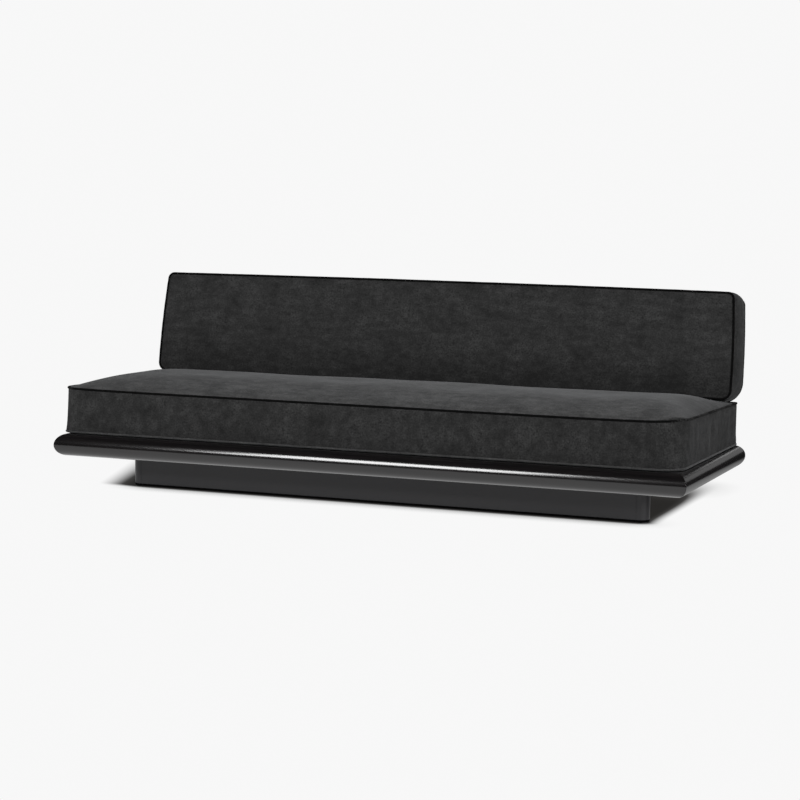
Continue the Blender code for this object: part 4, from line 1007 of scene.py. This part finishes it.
def swell(piece, form, hold):
    # cloth pressed out from inside for some steps, held at its seams; hold is 1 where it may move
    look = form.look
    seams = piece.vertex_groups.new(name="seams")
    seams.add([int(i) for i in form.seamIndex], 1.0, "REPLACE")
    cloth = piece.modifiers.new("swell", "CLOTH")
    settings = cloth.settings
    settings.quality = clothLook["quality"]
    settings.mass = clothLook["mass"]
    settings.tension_stiffness = settings.compression_stiffness = look["stiffness"]
    settings.shear_stiffness = look["stiffness"] / clothLook["shearShare"]
    settings.bending_stiffness = clothLook["bending"]
    settings.use_pressure = True
    settings.uniform_pressure_force = look["pressure"]
    settings.vertex_group_mass = "seams"
    settings.effector_weights.gravity = 0
    cloth.point_cache.frame_start, cloth.point_cache.frame_end = 1, clothLook["steps"]
    scene = bpy.context.scene
    for number in range(1, clothLook["steps"] + 1):
        scene.frame_set(number)
    blown = np.zeros(len(piece.data.vertices) * 3, np.float32)
    solved = piece.evaluated_get(bpy.context.evaluated_depsgraph_get())
    solved.data.vertices.foreach_get("co", blown)
    start = np.zeros_like(blown)
    piece.data.vertices.foreach_get("co", start)
    piece.modifiers.remove(cloth)
    scene.frame_set(1)
    moved = (blown - start).reshape(-1, 3)
    length = np.linalg.norm(moved, axis=1)
    cap = look["cap"]
    moved *= (cap * np.tanh(length / cap) / np.maximum(length, 1e-9) * hold)[:, None]
    piece.data.vertices.foreach_set("co", (start.reshape(-1, 3) + moved).astype(np.float32).ravel())
    piece.data.update()
    furthest = float(np.linalg.norm(moved, axis=1).max())
    print("swelled", piece.name, "by up to", round(furthest * 1000, 1), "mm")


def addCushion(name, form, body, covers, replaced, hold):
    # covers are the materials of the upper face, the lower face and the boxing
    points, quads, uv = form.build()
    mesh = buildMesh(name, form.toFrame(points), quads, uv=uv)
    for cover in covers:
        mesh.materials.append(cover)
    mesh.polygons.foreach_set("material_index", np.repeat(np.arange(3), form.counts).astype(np.int32))
    mesh.shade_smooth()
    piece = putInScene(name, mesh)
    swell(piece, form, hold(points, form.pointShare))
    addModifier(piece, "SUBSURF", levels=1, render_levels=1)
    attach(piece, body)
    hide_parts(*replaced)


# Piping: a round cord carried round a seam and sunk into it, a little uneven as sewn piping is.
# Each unevenness is (size, waves in one round, start).

pipingLook = dict(
    radius=0.0042, cadRadius=0.005, lowerShare=0.92, sink=0.0016, sides=14,
    uneven=((0.03, 61, 1), (0.03, 143, 2), (0.02, 317, 0)))


def addPiping(name, node, form, share, body, look, material=pipingShadeVelvet, thinner=1.0):
    radius, sides, sink = look["radius"] * thinner, look["sides"], look["sink"]
    path = form.seamLoop(share) * [1 - sink / form.a, 1 - sink / form.b, 1]
    ahead = closedAhead(path)
    side = unit(np.cross(ahead, [0, 0, 1.0]))
    over = np.cross(side, ahead)
    angle = np.linspace(0, 2 * math.pi, sides, endpoint=False)
    run = np.arange(len(path)) / len(path) * 2 * math.pi
    uneven = 1 + sum(size * np.sin(run * waves + start) for size, waves, start in look["uneven"])
    ring = side[:, None] * np.cos(angle)[None, :, None] + over[:, None] * np.sin(angle)[None, :, None]
    points = path[:, None] + ring * (radius * uneven)[:, None, None]
    around = np.arange(sides + 1) * 2 * math.pi * radius / sides
    uv = gridUv(runLength(path)[:, None], around[None, :])
    mesh = buildMesh(name, form.toFrame(points.reshape(-1, 3)), ringQuads(len(path), sides), uv=uv)
    turnOut(mesh)
    addPiece(name, mesh, material, body, [node])


# Seat cushion: crowned, raked to the rear, its right corners rounder and its ends lifted a little

seatLook = dict(
    halfLength=1.180, halfWidth=0.413, boxingHeight=0.159, shift=-0.009, skew=0.005, taper=0.0, rake=0.020,
    lowerCorners=(0.085, 0.030), upperCorners=(0.125, 0.042), leftShare=0.52, drawIn=(0.003, 0.0, 0.0005),
    crown=0.051, edgeFall=0.068, endFall=(0.078, 0.042), rearFall=0.370, rearPower=1.4, wave=0.0020,
    waveSize=0.42, waveSeed=5, frontLift=0.007, rearLift=0.012, liftPower=8, leftLift=0.55, underFall=0.008,
    footShare=0.87, belly=0.0, endFold=0.0042, seamTuck=0.0012, seamRoll=0.004, pucker=0.0009,
    bothPucker=False, step=0.022, stiffness=15.0, pressure=4.0, cap=0.009, fill=0.85,
    holdUnder=6, holdTop=(0.11, 0.10), holdRear=(0.012, 0.05))


def seatSeams(x, y):
    # the top seam falls towards the rear and lifts at its corners
    look = seatLook
    share = (y + look["halfWidth"]) / (2 * look["halfWidth"])
    lift = look["frontLift"] + (look["rearLift"] - look["frontLift"]) * share
    side = np.where(x < 0, look["leftLift"], 1.0)
    corner = (np.abs(x) / look["halfLength"]) ** look["liftPower"] * side
    return 0 * x, look["boxingHeight"] - look["rake"] * share + lift * corner


def seatTop(x, y, edge):
    # the crown rises from the front and the ends, and slopes away under the back cushion
    look = seatLook
    ends = rise(look["halfLength"] - np.abs(x), np.where(x < 0, *look["endFall"]))
    front = rise(y + look["halfWidth"], look["edgeFall"])
    fromRear = np.clip((look["halfWidth"] - y) / look["rearFall"], 0, 1)
    rear = 1 - (1 - fromRear) ** look["rearPower"]
    crown = look["crown"] + look["wave"] * ripple(x, y, look["waveSize"], look["waveSeed"])
    return seatSeams(x, y)[1] + ends * front * rear * crown


def seatUnder(x, y, edge):
    return -pipingLook["radius"] * rise(edge, seatLook["underFall"])


def seatHold(points, share):
    # free to swell on top and round the sides; still underneath and below the back cushion
    look = seatLook
    under = np.clip(share * look["holdUnder"], 0, 1)
    behind, rear = [
        np.clip((look["halfWidth"] - inset - points[:, 1]) / fade, 0, 1)
        for inset, fade in (look["holdTop"], look["holdRear"])]
    return under * np.where(share > 0.999, behind, rear)


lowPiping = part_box("seat_bottom_piping")
seatFoot = lowPiping[0].z + pipingLook["cadRadius"] * seatLook["footShare"]
seatMiddle = np.array([seatLook["shift"], (lowPiping[0].y + lowPiping[1].y) / 2, seatFoot])
seatForm = BoxedCushion(seatLook, (seatMiddle, np.eye(3)), seatSeams, (seatUnder, seatTop))
addCushion(
    "seat_cushion", seatForm, "seat_cushion", (seatVelvet, lining, boxingVelvet),
    ["seat_top_panel", "seat_boxing", "seat_bottom_panel", "seat_foam"], seatHold)
addPiping("seat_top_cord", "seat_top_piping", seatForm, 1.0, "seat_cushion", pipingLook, cordShadeAndLightVelvet)
addPiping(
    "seat_bottom_cord", "seat_bottom_piping", seatForm, 0.0, "seat_cushion", pipingLook, footPipingHighlight,
    pipingLook["lowerShare"])
print("seat cushion made")


# Back cushion: its upper face is the front one, and it leans back on its uprights

backLook = dict(
    halfLength=1.1580, halfWidth=0.1965, boxingHeight=0.184, skew=0.0, taper=0.026, leftShare=1.0, lean=10.0,
    lowerCorners=(0.074, 0.024), upperCorners=(0.032, 0.019), drawIn=(0.0, -0.004, -0.005), crown=0.012,
    edgeFall=0.060, wave=0.0010, waveSize=0.38, frontSeed=11, rearSeed=12, belly=0.006, endFold=0.0018,
    seamTuck=0.0012, seamRoll=0.004, pucker=0.0008, bothPucker=True, step=0.022, stiffness=15.0, pressure=4.0,
    cap=0.007, fill=0.8, holdFoot=(0.004, 0.03))


def backSeams(x, y):
    return 0 * x, 0 * x + backLook["boxingHeight"]


def backSwell(x, y, seed):
    look = backLook
    ends = rise(look["halfLength"] - np.abs(x), look["edgeFall"])
    sides = rise(look["halfWidth"] - np.abs(y), look["edgeFall"])
    return ends * sides * (look["crown"] + look["wave"] * ripple(x, y, look["waveSize"], seed))


def backFront(x, y, edge):
    return backLook["boxingHeight"] + backSwell(x, y, backLook["frontSeed"])


def backRear(x, y, edge):
    return -backSwell(x, y, backLook["rearSeed"])


def backHold(points, share):
    # the bottom boxing rests on the seat and stays flat
    inset, fade = backLook["holdFoot"]
    return np.clip((points[:, 1] + backLook["halfWidth"] - inset) / fade, 0, 1)


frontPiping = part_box("back_front_piping")
backLean = math.radians(backLook["lean"])
backUp = np.array([0, math.sin(backLean), math.cos(backLean)])
backOut = np.array([0, -math.cos(backLean), math.sin(backLean)])
backAxes = np.column_stack([[1, 0, 0], backUp, backOut])
backFoot = np.array([0, frontPiping[0].y, frontPiping[0].z]) + np.array([0, 1, 1]) * pipingLook["cadRadius"]
backMiddle = backFoot + backUp * backLook["halfWidth"] - backOut * backLook["boxingHeight"]
backForm = BoxedCushion(backLook, (backMiddle, backAxes), backSeams, (backRear, backFront))
addCushion(
    "back_cushion", backForm, "back_cushion", (frontVelvet, backVelvet, boxingVelvet),
    ["back_front_panel", "back_rear_panel", "back_boxing", "back_foam_front", "back_foam_rear"], backHold)
addPiping("back_front_cord", "back_front_piping", backForm, 1.0, "back_cushion", pipingLook)
addPiping("back_rear_cord", "back_rear_piping", backForm, 0.0, "back_cushion", pipingLook)
print("back cushion made")


# Bound slits in the back cushion's underside, where the uprights go in

slitLook = dict(
    length=0.072, width=0.016, corner=0.0075, cornerSteps=9, cord=0.0022, sides=10, below=0.0004,
    patchRings=4, patchMiddle=0.0003, patchRim=0.0002, patchThickness=0.0004)


def addSlit(word, look):
    # a thin cord carried round a long oval, with a black patch inside it
    low, high = barPlaces[word]
    across = np.array([(low.x + high.x) / 2, 0, 0])
    run = (backMiddle[1] - barY(high, barLook["slitZ"])) / math.cos(backLean)
    middle = backMiddle - backUp * backLook["halfWidth"] + backOut * run + across
    oval = roundedBox(look["length"], look["width"], look["corner"], look["cornerSteps"])
    path = middle + oval[:, :1] * np.array([1.0, 0, 0]) + oval[:, 1:] * backOut - backUp * look["below"]
    side = np.cross(closedAhead(path), backUp)
    angle = np.linspace(0, 2 * math.pi, look["sides"], endpoint=False)[None, :, None]
    tube = path[:, None] + look["cord"] * (side[:, None] * np.cos(angle) + backUp * np.sin(angle))
    mesh = buildMesh("slit_" + word, tube.reshape(-1, 3), ringQuads(len(path), look["sides"]))
    turnOut(mesh)
    addPiece("slit_binding_" + word, mesh, pipingShadeVelvet, "back_cushion")
    share = np.linspace(0, 1, look["patchRings"])[:, None, None]
    patch = (middle - backUp * look["patchMiddle"]) * (1 - share) + (path - backUp * look["patchRim"]) * share
    patch = np.concatenate([patch, patch[:, :1]], 1)
    mesh = buildMesh("slit_patch_" + word, patch.reshape(-1, 3), gridQuads(*patch.shape[:2]))
    weld(mesh)
    piece = addPiece("slit_lining_" + word, mesh, lining, "back_cushion")
    addModifier(piece, "SOLIDIFY", thickness=look["patchThickness"], offset=0.0)


for word in threeWords:
    addSlit(word, slitLook)
print("slits bound")


# Zips: woven tape, a row of interlocked teeth, and a slider with a drilled pull. The slider's plates are
# (distance out from its middle, size, edge power), and its pull starts at (out, along).

zipLook = dict(
    pitch=0.0026, tooth=(0.0015, 0.0042, 0.0008), toothLean=0.0009, toothTop=0.8, toothRise=0.00005,
    bareEnds=0.03, tape=dict(seat=0.0022, back=0.0013), sliderRise=0.00225, pull=(0.0058, 0.0205, 0.0013),
    pullStart=(0.0010, 0.0032), plates=(
        (-0.0009, (0.0120, 0.0088, 0.0016), 0.35), (0.0006, (0.0088, 0.0080, 0.0014), 0.35),
        (0.0011, (0.0030, 0.0074, 0.0012), 0.6)))


def roundedSolid(centre, size, axes, power, rows=14, columns=28):
    # a superellipsoid: cosines and sines raised to a small power give a box with soft edges
    upward, sideways = np.linspace(-math.pi / 2, math.pi / 2, rows), np.linspace(-math.pi, math.pi, columns)
    v, u = np.meshgrid(upward, sideways, indexing="ij")
    cosV, sinV, cosU, sinU = [
        np.sign(w) * np.abs(w) ** power for w in (np.cos(v), np.sin(v), np.cos(u), np.sin(u))]
    local = np.stack([cosV * cosU, cosV * sinU, sinV], -1) * (np.array(size) / 2)
    return centre + local.reshape(-1, 3) @ axes, gridQuads(rows, columns)


def drilledPlate(start, size, axes, hole=0.0016, steps=40):
    # a long plate with round ends and a hole near its far end, as four rings joined in a loop
    width, length, thick = size
    angle = np.linspace(0, 2 * math.pi, steps, endpoint=False)
    circle = np.column_stack([np.cos(angle), np.sin(angle)])
    outer = circle * width / 2
    outer[:, 1] += np.where(np.sin(angle) > 0, length - width, 0)
    inner = circle * hole + (0, length - width)
    flat = [(outer, -thick / 2), (outer, thick / 2), (inner, thick / 2), (inner, -thick / 2)]
    rings = np.array([np.column_stack([ring, np.full(steps, z)]) for ring, z in flat])
    return start + rings.reshape(-1, 3) @ axes, ringQuads(len(flat), steps)


def joinParts(parts):
    # several (points, quads) in one list
    shift = np.cumsum([0] + [len(p) for p, q in parts[:-1]])
    return np.concatenate([p for p, q in parts]), np.concatenate([q + s for (p, q), s in zip(parts, shift)])


def addTeeth(name, middle, length, axes, body, tape, look):
    # small blocks along the tape's middle, leaning up and down in turn
    count = int((length - look["bareEnds"]) / look["pitch"])
    x = (np.arange(count) - (count - 1) / 2) * look["pitch"]
    lean = np.where(np.arange(count) % 2, look["toothLean"], -look["toothLean"])
    signs = np.array([(i, j, k) for i in (-1, 1) for j in (-1, 1) for k in (-1, 1)])
    corner = signs * np.array(look["tooth"]) / 2
    corner[:, 1] *= np.where(corner[:, 2] > 0, look["toothTop"], 1.0)
    height = np.full(count, tape / 2 + look["toothRise"])
    local = corner[None] + np.stack([x, lean, height], -1)[:, None]
    block = np.array([(0, 1, 3, 2), (4, 6, 7, 5), (0, 4, 5, 1), (2, 3, 7, 6), (0, 2, 6, 4), (1, 5, 7, 3)])
    quads = (block[None] + (np.arange(count) * 8)[:, None, None]).reshape(-1, 4)
    mesh = buildMesh(name, middle + local.reshape(-1, 3) @ axes, quads)
    turnOut(mesh)
    addPiece(name, mesh, zipTooth, body)


def addZip(word, body, sliderBody, pullWay, outWay, look):
    # pullWay is where the pull hangs, outWay is out of the cloth; the slider sits over the teeth
    low, high = [np.array(c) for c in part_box(f"{word}_zip_tape")]
    middle, tape = (low + high) / 2, look["tape"][word]
    way, out = np.array(pullWay), np.array(outWay)
    axes = np.array([[1.0, 0, 0], way, out])
    addTeeth(word + "_zip_teeth", middle, high[0] - low[0], axes, body, tape, look)
    dressNode(f"{word}_zip_tape", zipCloth)
    node = f"{word}_zip_slider"
    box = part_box(node)
    centre = middle + (tape / 2 + look["sliderRise"]) * out
    centre[0] = (box[0].x + box[1].x) / 2
    parts = [roundedSolid(centre + out * away, size, axes, power) for away, size, power in look["plates"]]
    pullStart = centre + out * look["pullStart"][0] + way * look["pullStart"][1]
    points, quads = joinParts(parts + [drilledPlate(pullStart, look["pull"], axes)])
    mesh = buildMesh(node, points, quads)
    weld(mesh, facingOut=True)
    addPiece(word + "_zip_pull", mesh, zincPlate, sliderBody, [node], roundSharp)


addZip("seat", "seat_cushion", "seat_zip", (0, 0, -1.0), (0, 1.0, 0), zipLook)
addZip("back", "back_cushion", "back_zip", tuple(-backOut), tuple(-backUp), zipLook)
print("zips made")

bpy.context.scene.view_settings.view_transform = "Standard"
